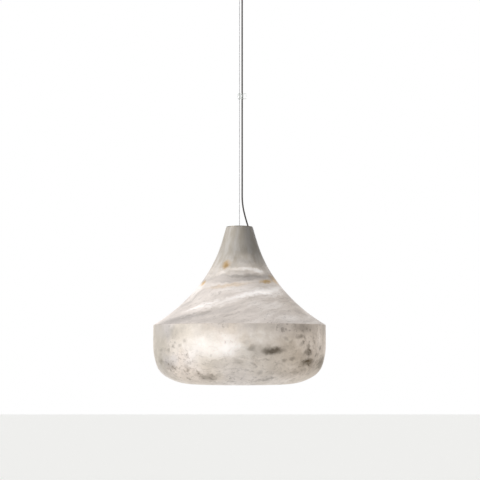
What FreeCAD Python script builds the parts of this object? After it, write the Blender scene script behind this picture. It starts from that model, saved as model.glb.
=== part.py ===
import FreeCAD, Part
import math
import os

import Sketcher

# Alabaster pendant lamp: a turned stone shade in two pieces, hung on a steel wire with its cable beside it.
# Millimetres. The origin is the middle of the ceiling plate, on the ceiling, and the lamp hangs down along -Z.

Vector = FreeCAD.Vector

# A half circle is drawn as an arc of this much more than its radius, since an exact one has no unique centre.
NEAR_HALF_CIRCLE = 1.0001

# Driving sizes, in millimetres, angles in degrees. Depths of the stone are measured down from its neck rim.
SIZES = {
    # ceiling plate and canopy
    "plate_radius": 54.0,
    "plate_thickness": 1.5,
    "plate_drop": 14.0,
    "plate_floor_radius": 36.0,
    "plate_web_radius": 42.0,
    "web_level_thickness": 1.7,
    "fixing_pitch_radius": 48.0,
    "fixing_hole_radius": 2.4,
    "supply_offset": 22.0,
    "supply_hole_radius": 8.0,
    "grommet_wall": 1.5,
    "grommet_lip": 1.6,
    "ear_lap": 2.0,
    "ear_width": 14.0,
    "ear_length": 17.0,
    "canopy_radius": 60.0,
    "canopy_depth": 45.0,
    "canopy_wall": 1.2,
    "canopy_corner": 6.0,
    "canopy_gap": 0.5,
    "side_screw_depth": 9.0,
    "side_screw_radius": 2.0,
    "side_screw_head": 3.6,
    "side_screw_head_height": 2.4,
    "side_screw_length": 8.0,
    "screw_rounding": 0.6,
    "screw_clearance": 0.2,
    # wire gripper
    "gripper_stud_radius": 4.0,
    "gripper_stud_length": 6.0,
    "gripper_flange_radius": 6.5,
    "gripper_flange": 3.0,
    "gripper_barrel_radius": 4.5,
    "gripper_barrel": 12.5,
    "gripper_chamber_radius": 3.2,
    "gripper_throat_radius": 1.6,
    "gripper_roof": 1.2,
    "cone_start": 5.0,
    "cone_length": 8.0,
    "ball_radius": 1.1,
    "ball_drop": 5.6,
    "washer_thickness": 0.6,
    "spring_wire": 0.8,
    "plunger_radius": 1.5,
    "plunger_head_radius": 3.5,
    "plunger_head": 2.5,
    "release_travel": 1.5,
    "nut_across_flats": 13.0,
    "nut_height": 4.0,
    # exit ring and ball bush in the canopy's floor
    "exit_ring_radius": 15.5,
    "exit_flange_radius": 18.0,
    "exit_flange": 1.5,
    "exit_ring_drop": 4.0,
    "bush_radius": 13.0,
    "bush_half_height": 6.0,
    "pivot_drop": 0.2,
    "cord_end_gap": 0.5,
    "running_gap": 0.05,
    # wire, cable and terminals
    "wire_radius": 0.75,
    "wire_bore_gap": 0.1,
    "wire_tail_rise": 0.3,
    "wire_tail_bend": 4.0,
    "wire_tail_length": 16.0,
    "tail_sleeve_radius": 1.6,
    "tail_sleeve_length": 8.0,
    "cable_radius": 2.0,
    "cable_offset": 7.0,
    "cable_bore_gap": 0.05,
    "tail_bend": 10.0,
    "core_radius": 0.9,
    "core_spread": 1.0,
    "core_run": 6.0,
    "terminal_start": 24.0,
    "terminal_length": 18.0,
    "terminal_width": 24.0,
    "terminal_height": 13.0,
    "terminal_pitch": 5.0,
    "terminal_depth": 7.0,
    "insert_radius": 2.2,
    "insert_bore": 1.2,
    "insert_recess": 1.5,
    "terminal_screw_radius": 1.4,
    "terminal_screw_length": 3.4,
    "block_screw_radius": 1.5,
    "block_screw_head": 2.7,
    "block_screw_head_height": 1.8,
    "block_screw_reach": 1.5,
    # where the cable leaves the wire, and its straight run into the cap
    "bend_depth": 674.0,
    "entry_run": 31.7,
    # cable clip
    "clip_drop": 389.0,
    "clip_height": 15.5,
    "clip_depth": 6.0,
    "clip_left": 4.6,
    "clip_right": 10.4,
    "clip_loop_reach": 8.0,
    "clip_loop_wall": 1.5,
    "clip_loop_depth": 3.0,
    "clip_loop_lap": 1.0,
    "clip_nub_radius": 1.1,
    "clip_nub_length": 2.5,
    "clip_nub_reach": 1.5,
    # stone, outside
    "neck_depth": 740.0,
    "neck_radius": 35.3,
    "waist_radius": 48.0,
    "waist_depth": 43.4,
    "neck_curve": 1238.0,
    "flare_radius": 98.5,
    "flare_depth": 142.8,
    "flare_slope": 36.5,
    "waist_curve": 334.0,
    "drum_radius": 224.0,
    "crease_depth": 255.8,
    "crease_slope": 59.5,
    "flare_curve": 424.0,
    "side_height": 49.0,
    "haunch_inset": 8.6,
    "haunch_fall": 52.8,
    "haunch_slope": 18.3,
    "side_curve": 168.0,
    "turn_inset": 31.0,
    "turn_fall": 29.1,
    "turn_slope": 57.0,
    "haunch_curve": 55.4,
    "mouth_inset": 101.2,
    "mouth_fall": 20.7,
    "base_curve": 129.0,
    # stone, inside
    "stone_wall": 9.0,
    "neck_bore": 28.5,
    "shoulder_depth": 85.0,
    "shoulder_radius": 54.0,
    "tongue_setback": 14.5,
    "tongue_width": 4.5,
    "tongue_height": 3.0,
    "tongue_gap": 0.2,
    # cap, nipple and hickey at the top of the neck
    "cap_radius": 34.5,
    "cap_thickness": 1.5,
    "cap_lip": 0.9,
    "cap_lip_depth": 3.0,
    "fit_gap": 0.2,
    "cable_entry": 22.9,
    "cable_entry_slope": 17.5,
    "grommet_body": 2.9,
    "grommet_flange_radius": 3.4,
    "grommet_flange": 1.0,
    "nipple_flange_radius": 8.5,
    "nipple_flange": 1.5,
    "thread_radius": 5.0,
    "nipple_length": 15.0,
    "nipple_roof": 5.0,
    "nipple_cavity": 3.2,
    "stop_radius": 2.4,
    "stop_length": 8.0,
    "hickey_boss_radius": 8.0,
    "hickey_boss": 10.0,
    "hickey_window": 35.0,
    "hickey_arm_outer": 12.0,
    "hickey_arm_inner": 8.5,
    "hickey_depth": 8.0,
    "hickey_band": 3.0,
    "lead_turn": 14.0,
    "lead_turn_reach": 7.8,
    "lead_bend": 20.0,
    "lead_mouth_rise": 8.4,
    "lead_end_drop": 1.0,
    # stem, plate and nuts that hold the stone
    "tube_bore": 4.0,
    "tube_top_gap": 1.0,
    "tube_end_depth": 202.0,
    "gasket_radius": 50.0,
    "gasket_inner": 31.0,
    "gasket_thickness": 2.0,
    "plate_disc": 3.0,
    "vent_radius": 6.0,
    "vent_pitch": 24.0,
    "stem_nut_flats": 14.0,
    "stem_nut_height": 5.0,
    "stem_nut_turn": 14.0,
    # lampholder
    "holder_neck_radius": 8.0,
    "holder_neck": 9.0,
    "holder_radius": 19.5,
    "holder_wall": 2.0,
    "holder_cap_height": 22.0,
    "holder_grip": 6.0,
    "skirt_height": 33.0,
    "skirt_rim": 1.0,
    "dome_curve": 13.3,
    "core_disc_radius": 12.5,
    "core_disc_height": 8.0,
    "core_shoulder": 4.8,
    "shell_radius": 14.2,
    "shell_wall": 0.5,
    "shell_length": 24.0,
    "contact_length": 12.0,
    "contact_width": 6.0,
    "contact_thickness": 0.6,
    "contact_drop": 2.0,
    # bulb
    "bulb_thread_radius": 13.1,
    "bulb_thread_length": 22.0,
    "bulb_wall": 1.0,
    "bulb_dot_radius": 4.5,
    "bulb_dot": 1.0,
    "bulb_cone": 3.0,
    "globe_radius": 40.0,
    "globe_drop": 46.0,
    "globe_fillet": 12.0,
    "column_rounding": 2.0,
    "led_column_radius": 6.0,
    "led_column_length": 42.0,
}

doc = FreeCAD.newDocument("AlabasterPendant")
sheet = doc.addObject("Spreadsheet::Sheet", "Sizes")
for row, (alias, size) in enumerate(SIZES.items(), start=1):
    sheet.set(f"A{row}", alias)
    sheet.set(f"B{row}", str(size))
    sheet.setAlias(f"B{row}", alias)
doc.recompute()


class Length:
    """A size from the sheet, or one worked out from such sizes, with the expression that binds it there."""

    def __init__(self, number, text):
        self.number = float(number)
        self.text = text

    def joined(self, sign, other, number):
        text = other.text if isinstance(other, Length) else repr(float(other))
        return Length(number, f"({self.text} {sign} {text})")

    def __add__(self, other):
        return self.joined("+", other, self.number + number_of(other))

    def __sub__(self, other):
        return self.joined("-", other, self.number - number_of(other))

    def __mul__(self, other):
        return self.joined("*", other, self.number * number_of(other))

    def __truediv__(self, other):
        return self.joined("/", other, self.number / number_of(other))

    def __neg__(self):
        return Length(-self.number, f"(0 - {self.text})")

    def cosine(self):
        return Length(math.cos(math.radians(self.number)), f"cos({self.text} * 1deg)")

    def sine(self):
        return Length(math.sin(math.radians(self.number)), f"sin({self.text} * 1deg)")

    def tangent(self):
        return Length(math.tan(math.radians(self.number)), f"tan({self.text} * 1deg)")


def number_of(value):
    return value.number if isinstance(value, Length) else float(value)


class SheetSizes:
    """dim.neck_radius is the sheet's cell of that name, as a Length."""

    def __getattr__(self, alias):
        return Length(getattr(sheet, alias), f"Sizes.{alias}")


dim = SheetSizes()


# ---------------------------------------------------------------- sketches and features

class Corner:
    """A corner of an outline. With a curve, an arc of that radius arrives here, turning left (1) or right (-1)."""

    def __init__(self, across, up, curve=None, turn=1):
        self.across = across
        self.up = up
        self.curve = curve
        self.turn = turn

    def point(self):
        return Vector(number_of(self.across), number_of(self.up), 0)


def bind(sketch, kind, places, value):
    """Adds one dimension to a sketch, tied to the sheet where its value comes from there."""
    index = sketch.addConstraint(Sketcher.Constraint(kind, *places, number_of(value)))
    if isinstance(value, Length):
        sketch.setExpression(f"Constraints[{index}]", value.text)


def fix_point(sketch, edge, end, across, up):
    """Fixes one end of an edge, or a circle's centre, from the sketch's origin."""
    for kind, value, axis in (("DistanceX", across, -2), ("DistanceY", up, -1)):
        if not isinstance(value, Length) and value == 0:
            sketch.addConstraint(Sketcher.Constraint("PointOnObject", edge, end, axis))
        else:
            bind(sketch, kind, (-1, 1, edge, end), value)


def arc_between(start, finish, radius, turn):
    """The minor arc from start to finish, turning left (1) or right (-1) as it goes."""
    chord = finish - start
    reach = math.sqrt(max(radius**2 - chord.Length**2 / 4, 0.0))
    side = Vector(-chord.y, chord.x, 0).normalize() * turn
    centre = (start + finish) / 2 + side * reach
    first, last = (start, finish) if turn > 0 else (finish, start)
    angles = [math.atan2(p.y - centre.y, p.x - centre.x) for p in (first, last)]
    return Part.ArcOfCircle(Part.Circle(centre, Vector(0, 0, 1), radius), *angles)


def draw_loop(sketch, corners):
    """Draws a closed outline through the corners, each one held by its two coordinates."""
    base = sketch.GeometryCount
    count = len(corners)
    for i, corner in enumerate(corners):
        start = corners[i - 1].point()
        if corner.curve is None:
            sketch.addGeometry(Part.LineSegment(start, corner.point()))
        else:
            sketch.addGeometry(arc_between(start, corner.point(), number_of(corner.curve), corner.turn))
    for i, corner in enumerate(corners):
        here = 2 if corner.curve is None or corner.turn > 0 else 1
        following = corners[(i + 1) % count]
        there = 1 if following.curve is None or following.turn > 0 else 2
        after = base + (i + 1) % count
        sketch.addConstraint(Sketcher.Constraint("Coincident", base + i, here, after, there))
        fix_point(sketch, base + i, here, corner.across, corner.up)
        if corner.curve is not None:
            bind(sketch, "Radius", (base + i,), corner.curve)


def draw_circle(sketch, across, up, radius):
    edge = sketch.addGeometry(
        Part.Circle(Vector(number_of(across), number_of(up), 0), Vector(0, 0, 1), number_of(radius))
    )
    fix_point(sketch, edge, 3, across, up)
    bind(sketch, "Radius", (edge,), radius)


def rectangle(left, right, low, high):
    return [Corner(left, low), Corner(right, low), Corner(right, high), Corner(left, high)]


def new_body(name, seat=(0, 0, 0)):
    """A body with its own label, placed with its origin at its seat."""
    body = doc.addObject("PartDesign::Body", name)
    body.Label = name
    place(body, seat)
    return body


def place(thing, seat, axis=Vector(0, 0, 1), degrees=0.0):
    thing.Placement = FreeCAD.Placement(
        Vector(*(number_of(value) for value in seat)), FreeCAD.Rotation(axis, degrees)
    )
    for letter, value in zip("xyz", seat):
        if isinstance(value, Length):
            thing.setExpression(f"Placement.Base.{letter}", value.text)


def new_sketch(body, name, plane, lift=0):
    """An empty sketch on one of the body's origin planes, lifted along the plane's normal."""
    sketch = body.newObject("Sketcher::SketchObject", name)
    origin_plane = [f for f in body.Origin.OriginFeatures if f.Role == plane][0]
    sketch.AttachmentSupport = (origin_plane, [""])
    sketch.MapMode = "FlatFace"
    sketch.AttachmentOffset = FreeCAD.Placement(Vector(0, 0, number_of(lift)), FreeCAD.Rotation())
    if isinstance(lift, Length):
        sketch.setExpression("AttachmentOffset.Base.z", lift.text)
    return sketch


def turned(body, name, corners):
    """Turns a half section, drawn as (radius, height), about Z and adds it to the body."""
    sketch = new_sketch(body, name + "_section", "XZ_Plane")
    draw_loop(sketch, corners)
    feature = body.newObject("PartDesign::Revolution", name)
    feature.Profile = sketch
    feature.ReferenceAxis = (sketch, ["V_Axis"])
    feature.Angle = 360
    return feature


def lathe(name, corners, seat=(0, 0, 0)):
    """A body that is one turned piece."""
    body = new_body(name, seat)
    turned(body, name + "_turning", corners)
    return body


def padded(body, name, plane, lift, loops, length, midplane=False):
    """Pads the loops from a plane, along its normal, or to both sides of it."""
    sketch = new_sketch(body, name + "_outline", plane, lift)
    for loop in loops:
        if isinstance(loop, list):
            draw_loop(sketch, loop)
        else:
            draw_circle(sketch, *loop)
    feature = body.newObject("PartDesign::Pad", name)
    feature.Profile = sketch
    feature.Length = number_of(length)
    if isinstance(length, Length):
        feature.setExpression("Length", length.text)
    feature.Midplane = midplane
    return feature


def pocketed(body, name, plane, lift, loops, length=None, midplane=False):
    """Cuts the loops out of the body, against the plane's normal, and checks that something went."""
    doc.recompute()
    before = body.Shape.Volume
    sketch = new_sketch(body, name + "_outline", plane, lift)
    for loop in loops:
        if isinstance(loop, list):
            draw_loop(sketch, loop)
        else:
            draw_circle(sketch, *loop)
    feature = body.newObject("PartDesign::Pocket", name)
    feature.Profile = sketch
    feature.Midplane = midplane
    if length is None:
        feature.Type = "ThroughAll"
    else:
        feature.Length = number_of(length)
        if isinstance(length, Length):
            feature.setExpression("Length", length.text)
    doc.recompute()
    if body.Shape.Volume > before - 1e-6:
        raise RuntimeError(f"{name} cuts nothing")
    return feature


def around(body, feature, count, name):
    """Repeats a feature round the body's Z axis."""
    pattern = body.newObject("PartDesign::PolarPattern", name)
    pattern.Originals = [feature]
    pattern.Axis = ([f for f in body.Origin.OriginFeatures if f.Role == "Z_Axis"][0], [""])
    pattern.Angle = 360
    pattern.Occurrences = count
    body.Tip = pattern
    return pattern


def group(name, solids):
    """One node that holds several separate solids."""
    piece = doc.addObject("Part::Feature", name)
    piece.Label = name
    piece.Shape = Part.makeCompound(solids)
    return piece


def copies(name, master, placements):
    """One node of several like pieces, each a copy of the master's shape."""
    doc.recompute()
    solids = []
    for placement in placements:
        solid = master.Shape.Solids[0].copy()
        solid.Placement = placement
        solids.append(solid)
    return group(name, solids)


def bent_path(points, radii=None):
    """Straight runs joined by tangent arcs. Without radii, each arc takes 0.45 of its shorter run."""
    edges = []
    used = []
    start = points[0]
    for i in range(1, len(points) - 1):
        back = points[i - 1] - points[i]
        ahead = points[i + 1] - points[i]
        half = (math.pi - back.getAngle(ahead)) / 2
        radius = 0.45 * min(back.Length, ahead.Length) / math.tan(half) if radii is None else radii[i - 1]
        reach = radius * math.tan(half)
        first = points[i] + back.normalize() * reach
        last = points[i] + ahead.normalize() * reach
        inward = (back + ahead).normalize()
        middle = points[i] + inward * (radius / math.cos(half) - radius)
        edges.append(Part.LineSegment(start, first).toShape())
        edges.append(Part.Arc(first, middle, last).toShape())
        used.append(radius)
        start = last
    edges.append(Part.LineSegment(start, points[-1]).toShape())
    return Part.Wire(edges), used


def tube_along(name, points, radius, radii=None, bore=None):
    """A round cord, lead or bent wire along a path, with its bend radii and volume printed."""
    path, used = bent_path(points, radii)
    heading = points[1] - points[0]
    rim = Part.Wire(Part.makeCircle(radius, points[0], heading))
    solid = path.makePipeShell([rim], True, False)
    exact = math.pi * radius**2 * path.Length
    print(
        name,
        "length", round(path.Length, 1),
        "bend radii", [round(r, 1) for r in used],
        "volume over section times length", round(solid.Volume / exact, 4),
    )
    return solid


def hexagon(name, flats, height, bore, seat):
    """A hexagon nut with two corners on the X axis."""
    nut = new_body(name, seat)
    corner = flats / math.sqrt(3)
    half = flats / 2
    points = [
        Corner(corner, 0),
        Corner(corner / 2, half),
        Corner(-corner / 2, half),
        Corner(-corner, 0),
        Corner(-corner / 2, -half),
        Corner(corner / 2, -half),
    ]
    padded(nut, name + "_blank", "XY_Plane", 0, [points, (0, 0, bore)], height)
    return nut


# ---------------------------------------------------------------- ceiling plate

plate_top = -dim.plate_drop + dim.plate_thickness


def make_ceiling_plate():
    """Pressed pan: a rim against the ceiling, a dropped floor, and two slotted ears for the canopy's screws."""
    plate = new_body("ceiling_plate")
    turned(
        plate,
        "plate_pan",
        [
            Corner(dim.gripper_stud_radius + dim.screw_clearance, -dim.plate_drop),
            Corner(dim.plate_floor_radius, -dim.plate_drop),
            Corner(dim.plate_web_radius, -dim.plate_thickness),
            Corner(dim.plate_radius, -dim.plate_thickness),
            Corner(dim.plate_radius, 0),
            Corner(dim.plate_web_radius - dim.web_level_thickness, 0),
            Corner(dim.plate_floor_radius - dim.web_level_thickness, plate_top),
            Corner(dim.gripper_stud_radius + dim.screw_clearance, plate_top),
        ],
    )
    ear_face = dim.canopy_radius - dim.canopy_wall - dim.canopy_gap
    half = dim.ear_width / 2
    for side, sign in (("front", -1), ("back", 1)):
        root = (dim.plate_web_radius + dim.ear_lap) * sign
        outer = ear_face * sign
        inner = (ear_face - dim.plate_thickness) * sign
        low, high = (outer, root) if sign < 0 else (root, outer)
        tongue = rectangle(-half, half, low, high)
        padded(plate, f"{side}_tongue", "XY_Plane", -dim.plate_thickness, [tongue], dim.plate_thickness)
        low, high = (outer, inner) if sign < 0 else (inner, outer)
        ear = rectangle(-half, half, low, high)
        padded(plate, f"{side}_ear", "XY_Plane", -dim.ear_length, [ear], dim.ear_length)
    slot = dim.side_screw_radius + dim.screw_clearance
    pocketed(
        plate,
        "ear_slots",
        "XZ_Plane",
        0,
        [[
            Corner(-slot, -dim.ear_length * 2),
            Corner(slot, -dim.ear_length * 2),
            Corner(slot, -dim.side_screw_depth),
            Corner(-slot, -dim.side_screw_depth, slot * NEAR_HALF_CIRCLE, 1),
        ]],
        dim.canopy_radius * 2,
        midplane=True,
    )
    diagonal = dim.fixing_pitch_radius / math.sqrt(2)
    fixing = pocketed(
        plate,
        "fixing_hole",
        "XY_Plane",
        0,
        [(diagonal, diagonal, dim.fixing_hole_radius)],
        dim.plate_thickness * 2,
        midplane=True,
    )
    around(plate, fixing, 4, "fixing_holes")
    pocketed(
        plate,
        "supply_hole",
        "XY_Plane",
        0,
        [(-dim.supply_offset, 0, dim.supply_hole_radius)],
        dim.plate_drop * 3,
        midplane=True,
    )
    block_middle = dim.terminal_start + dim.terminal_length / 2
    pocketed(
        plate,
        "block_screw_hole",
        "XY_Plane",
        0,
        [(block_middle, 0, dim.block_screw_radius + dim.running_gap)],
        dim.plate_drop * 3,
        midplane=True,
    )
    return plate


def make_supply_grommet():
    """Rubber ring that lines the hole where the house wiring comes through."""
    outer = dim.supply_hole_radius - dim.running_gap
    lip = outer + dim.grommet_lip
    inner = outer - dim.grommet_wall
    half = dim.plate_thickness / 2
    top = half + dim.grommet_lip
    return lathe(
        "supply_grommet",
        [
            Corner(inner, -top),
            Corner(lip, -top),
            Corner(lip, -half),
            Corner(outer, -half),
            Corner(outer, half),
            Corner(lip, half),
            Corner(lip, top),
            Corner(inner, top),
        ],
        (-dim.supply_offset, 0, -dim.plate_drop + half),
    )


# ---------------------------------------------------------------- wire gripper

wire_bore = dim.wire_radius + dim.wire_bore_gap
gripper_seat = -dim.plate_drop
barrel_end = -dim.gripper_flange - dim.gripper_barrel


def make_gripper_body():
    """Brass barrel with a cone that narrows downwards, so that the load wedges three balls on the wire."""
    stud_top = dim.gripper_stud_length
    roof = -dim.gripper_roof
    cone_top = -dim.cone_start
    cone_low = cone_top - dim.cone_length
    return lathe(
        "gripper_body",
        [
            Corner(wire_bore, stud_top),
            Corner(wire_bore, roof),
            Corner(dim.gripper_chamber_radius, roof),
            Corner(dim.gripper_chamber_radius, cone_top),
            Corner(dim.gripper_throat_radius, cone_low),
            Corner(dim.gripper_throat_radius, barrel_end),
            Corner(dim.gripper_barrel_radius, barrel_end),
            Corner(dim.gripper_barrel_radius, -dim.gripper_flange),
            Corner(dim.gripper_flange_radius, -dim.gripper_flange),
            Corner(dim.gripper_flange_radius, 0),
            Corner(dim.gripper_stud_radius, 0),
            Corner(dim.gripper_stud_radius, stud_top),
        ],
        (0, 0, gripper_seat),
    )


def make_gripper_nut():
    """Hexagon nut that clamps the gripper's stud to the plate."""
    bore = dim.gripper_stud_radius + dim.running_gap
    return hexagon("gripper_nut", dim.nut_across_flats, dim.nut_height, bore, (0, 0, plate_top))


def make_gripper_balls():
    """Three steel balls round the wire, resting in the cone."""
    reach = number_of(dim.wire_radius + dim.ball_radius + dim.running_gap)
    height = number_of(gripper_seat - dim.ball_drop)
    solids = []
    for k in range(3):
        angle = math.radians(90 + 120 * k)
        centre = Vector(reach * math.cos(angle), reach * math.sin(angle), height)
        solids.append(Part.makeSphere(number_of(dim.ball_radius), centre))
    return group("gripper_balls", solids)


def make_gripper_washer():
    """Thin washer between the spring and the balls."""
    return lathe(
        "gripper_washer",
        [
            Corner(wire_bore, 0),
            Corner(dim.gripper_chamber_radius - dim.running_gap * 2, 0),
            Corner(dim.gripper_chamber_radius - dim.running_gap * 2, dim.washer_thickness),
            Corner(wire_bore, dim.washer_thickness),
        ],
        (0, 0, gripper_seat - dim.ball_drop + dim.ball_radius),
    )


def make_gripper_spring():
    """Small coil spring that pushes the washer down: a plain sleeve of the coil's size."""
    low = -dim.ball_drop + dim.ball_radius + dim.washer_thickness
    high = -dim.gripper_roof
    return lathe(
        "gripper_spring",
        [
            Corner(dim.gripper_throat_radius, low),
            Corner(dim.gripper_throat_radius + dim.spring_wire, low),
            Corner(dim.gripper_throat_radius + dim.spring_wire, high),
            Corner(dim.gripper_throat_radius, high),
        ],
        (0, 0, gripper_seat),
    )


def make_gripper_plunger():
    """Release plunger: pushed up, its thin tube lifts the balls out of the cone."""
    tube_top = -dim.ball_drop - dim.ball_radius - dim.running_gap
    head_top = barrel_end - dim.release_travel - dim.wire_bore_gap
    head_low = head_top - dim.plunger_head
    return lathe(
        "gripper_plunger",
        [
            Corner(wire_bore, head_low),
            Corner(dim.plunger_head_radius, head_low),
            Corner(dim.plunger_head_radius, head_top),
            Corner(dim.plunger_radius, head_top),
            Corner(dim.plunger_radius, tube_top),
            Corner(wire_bore, tube_top),
        ],
        (0, 0, gripper_seat),
    )


# ---------------------------------------------------------------- canopy, exit ring and ball bush

floor_top = -dim.canopy_depth + dim.canopy_wall
pivot = floor_top - dim.pivot_drop


def make_canopy_cup():
    """Spun steel cup that hides the ceiling plate, with a hole in its floor for the exit ring."""
    inner = dim.canopy_radius - dim.canopy_wall
    corner = dim.canopy_corner
    hole = dim.exit_ring_radius + dim.running_gap
    cup = lathe(
        "canopy_cup",
        [
            Corner(dim.canopy_radius, 0),
            Corner(inner, 0),
            Corner(inner, -dim.canopy_depth + corner),
            Corner(dim.canopy_radius - corner, floor_top, corner - dim.canopy_wall, -1),
            Corner(hole, floor_top),
            Corner(hole, -dim.canopy_depth),
            Corner(dim.canopy_radius - corner, -dim.canopy_depth),
            Corner(dim.canopy_radius, -dim.canopy_depth + corner, corner, 1),
        ],
    )
    pocketed(
        cup,
        "side_screw_holes",
        "XZ_Plane",
        0,
        [(0, -dim.side_screw_depth, dim.side_screw_radius + dim.screw_clearance)],
        dim.canopy_radius * 3,
        midplane=True,
    )
    return cup


def make_canopy_screws():
    """Two round-headed screws through the cup's side into the slotted ears."""
    head = dim.side_screw_head
    soft = dim.screw_rounding
    length = dim.side_screw_length
    master = lathe(
        "canopy_screw_master",
        [
            Corner(0, -length),
            Corner(dim.side_screw_radius, -length),
            Corner(dim.side_screw_radius, 0),
            Corner(head, 0),
            Corner(head, dim.side_screw_head_height - soft),
            Corner(head - soft, dim.side_screw_head_height, soft, 1),
            Corner(0, dim.side_screw_head_height),
        ],
    )
    seat = number_of(dim.canopy_radius)
    depth = -number_of(dim.side_screw_depth)
    places = [
        FreeCAD.Placement(Vector(0, seat, depth), FreeCAD.Rotation(Vector(1, 0, 0), -90)),
        FreeCAD.Placement(Vector(0, -seat, depth), FreeCAD.Rotation(Vector(1, 0, 0), 90)),
    ]
    return copies("canopy_screws", master, places)


def make_exit_ring():
    """Flanged brass ring dropped into the cup's floor from above; its inside is the ball bush's seat."""
    seat_radius = dim.bush_radius + dim.running_gap
    top = floor_top + dim.exit_flange - pivot
    low = -dim.canopy_depth - dim.exit_ring_drop - pivot
    top_radius = math.sqrt(number_of(seat_radius) ** 2 - number_of(top) ** 2)
    low_radius = math.sqrt(number_of(seat_radius) ** 2 - number_of(low) ** 2)
    above = Length(top_radius, f"sqrt({seat_radius.text}^2 - {top.text}^2)")
    below = Length(low_radius, f"sqrt({seat_radius.text}^2 - {low.text}^2)")
    under_flange = floor_top - pivot
    return lathe(
        "exit_ring",
        [
            Corner(above, top),
            Corner(below, low, seat_radius, -1),
            Corner(dim.exit_ring_radius, low),
            Corner(dim.exit_ring_radius, under_flange),
            Corner(dim.exit_flange_radius, under_flange),
            Corner(dim.exit_flange_radius, top),
        ],
        (0, 0, pivot),
    )


def make_swivel_bush():
    """Nylon ball with two bores, through which wire and cable leave; it tilts as the lamp swings."""
    half = dim.bush_half_height
    flat = Length(
        math.sqrt(number_of(dim.bush_radius) ** 2 - number_of(half) ** 2),
        f"sqrt({dim.bush_radius.text}^2 - {half.text}^2)",
    )
    bush = lathe(
        "swivel_bush",
        [
            Corner(0, -half),
            Corner(flat, -half),
            Corner(flat, half, dim.bush_radius, 1),
            Corner(0, half),
        ],
        (0, 0, pivot),
    )
    pocketed(
        bush,
        "cord_bores",
        "XY_Plane",
        0,
        [
            (0, 0, dim.wire_radius + dim.cable_bore_gap),
            (dim.cable_offset, 0, dim.cable_radius + dim.cable_bore_gap),
        ],
        half * 3,
        midplane=True,
    )
    return bush


# ---------------------------------------------------------------- wiring inside the canopy

bush_top = pivot + dim.bush_half_height
cords_top = bush_top + dim.cord_end_gap
terminal_axis = -dim.plate_drop - dim.terminal_depth

# Where the clamping screws stand, as shares of the terminal block's length.
SCREW_PLACES = (0.25, 0.75)


def make_wire_tail():
    """The wire's upper end: up through the gripper and the plate, then bent aside, with a crimped sleeve."""
    bend = number_of(dim.wire_tail_bend)
    top = number_of(gripper_seat + dim.gripper_stud_length + dim.wire_tail_rise) + bend
    start = number_of(cords_top)
    points = [Vector(0, 0, start), Vector(0, 0, top), Vector(0, number_of(dim.wire_tail_length) + bend, top)]
    tail = group("wire_tail", [tube_along("wire_tail", points, number_of(dim.wire_radius), [bend])])
    sleeve = lathe(
        "tail_sleeve",
        [
            Corner(0, 0),
            Corner(dim.tail_sleeve_radius, 0),
            Corner(dim.tail_sleeve_radius, dim.tail_sleeve_length),
            Corner(0, dim.tail_sleeve_length),
        ],
    )
    sleeve.Placement = FreeCAD.Placement(points[-1], FreeCAD.Rotation(Vector(1, 0, 0), -90))
    return tail, sleeve


def make_cable_tail():
    """The power cable's end inside the canopy: up from the bush and over to the terminal block."""
    offset = number_of(dim.cable_offset)
    level = number_of(terminal_axis)
    sheath_end = number_of(dim.terminal_start - dim.core_run)
    points = [Vector(offset, 0, number_of(cords_top)), Vector(offset, 0, level), Vector(sheath_end, 0, level)]
    solid = tube_along("cable_tail", points, number_of(dim.cable_radius), [number_of(dim.tail_bend)])
    return group("cable_tail", [solid])


def make_cable_cores():
    """The two insulated cores, spread from the sheath's end to the block's two ways."""
    level = number_of(terminal_axis)
    start = number_of(dim.terminal_start - dim.core_run)
    run = number_of(dim.core_run)
    spread = number_of(dim.core_spread)
    pitch = number_of(dim.terminal_pitch)
    splay_start = start + run / 4
    splay_end = start + run * 4 / 5
    tip = start + run + number_of(dim.insert_recess)
    solids = []
    for side in (-1, 1):
        points = [
            Vector(start, side * spread, level),
            Vector(splay_start, side * spread, level),
            Vector(splay_end, side * pitch, level),
            Vector(tip, side * pitch, level),
        ]
        solids.append(tube_along("cable_core", points, number_of(dim.core_radius)))
    return group("cable_cores", solids)


def make_terminal_block():
    """Two-way block of white plastic under the plate, with a bore for each way and screw wells from below."""
    start = dim.terminal_start
    end = start + dim.terminal_length
    half = dim.terminal_width / 2
    block = new_body("terminal_block", (0, 0, -dim.plate_drop - dim.terminal_height))
    padded(block, "block_blank", "XY_Plane", 0, [rectangle(start, end, -half, half)], dim.terminal_height)
    way_height = dim.terminal_height - dim.terminal_depth
    ways = [(dim.terminal_pitch * side, way_height, dim.insert_radius + dim.running_gap) for side in (-1, 1)]
    pocketed(block, "ways", "YZ_Plane", 0, ways, dim.canopy_radius * 2, midplane=True)
    well = dim.terminal_screw_radius + dim.running_gap
    wells = [
        (start + dim.terminal_length * share, dim.terminal_pitch * side, well)
        for share in SCREW_PLACES
        for side in (-1, 1)
    ]
    pocketed(block, "screw_wells", "XY_Plane", way_height, wells, dim.terminal_height)
    pocketed(
        block,
        "fixing_well",
        "XY_Plane",
        0,
        [(start + dim.terminal_length / 2, 0, dim.block_screw_radius + dim.running_gap)],
        dim.terminal_height * 3,
        midplane=True,
    )
    return block


def make_terminal_inserts():
    """Brass tubes in the block's two ways."""
    master = lathe(
        "insert_master",
        [
            Corner(dim.insert_bore, dim.insert_recess),
            Corner(dim.insert_radius, dim.insert_recess),
            Corner(dim.insert_radius, dim.terminal_length - dim.insert_recess),
            Corner(dim.insert_bore, dim.terminal_length - dim.insert_recess),
        ],
    )
    places = [
        FreeCAD.Placement(
            Vector(number_of(dim.terminal_start), side * number_of(dim.terminal_pitch), number_of(terminal_axis)),
            FreeCAD.Rotation(Vector(0, 1, 0), 90),
        )
        for side in (-1, 1)
    ]
    return copies("terminal_inserts", master, places)


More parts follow.
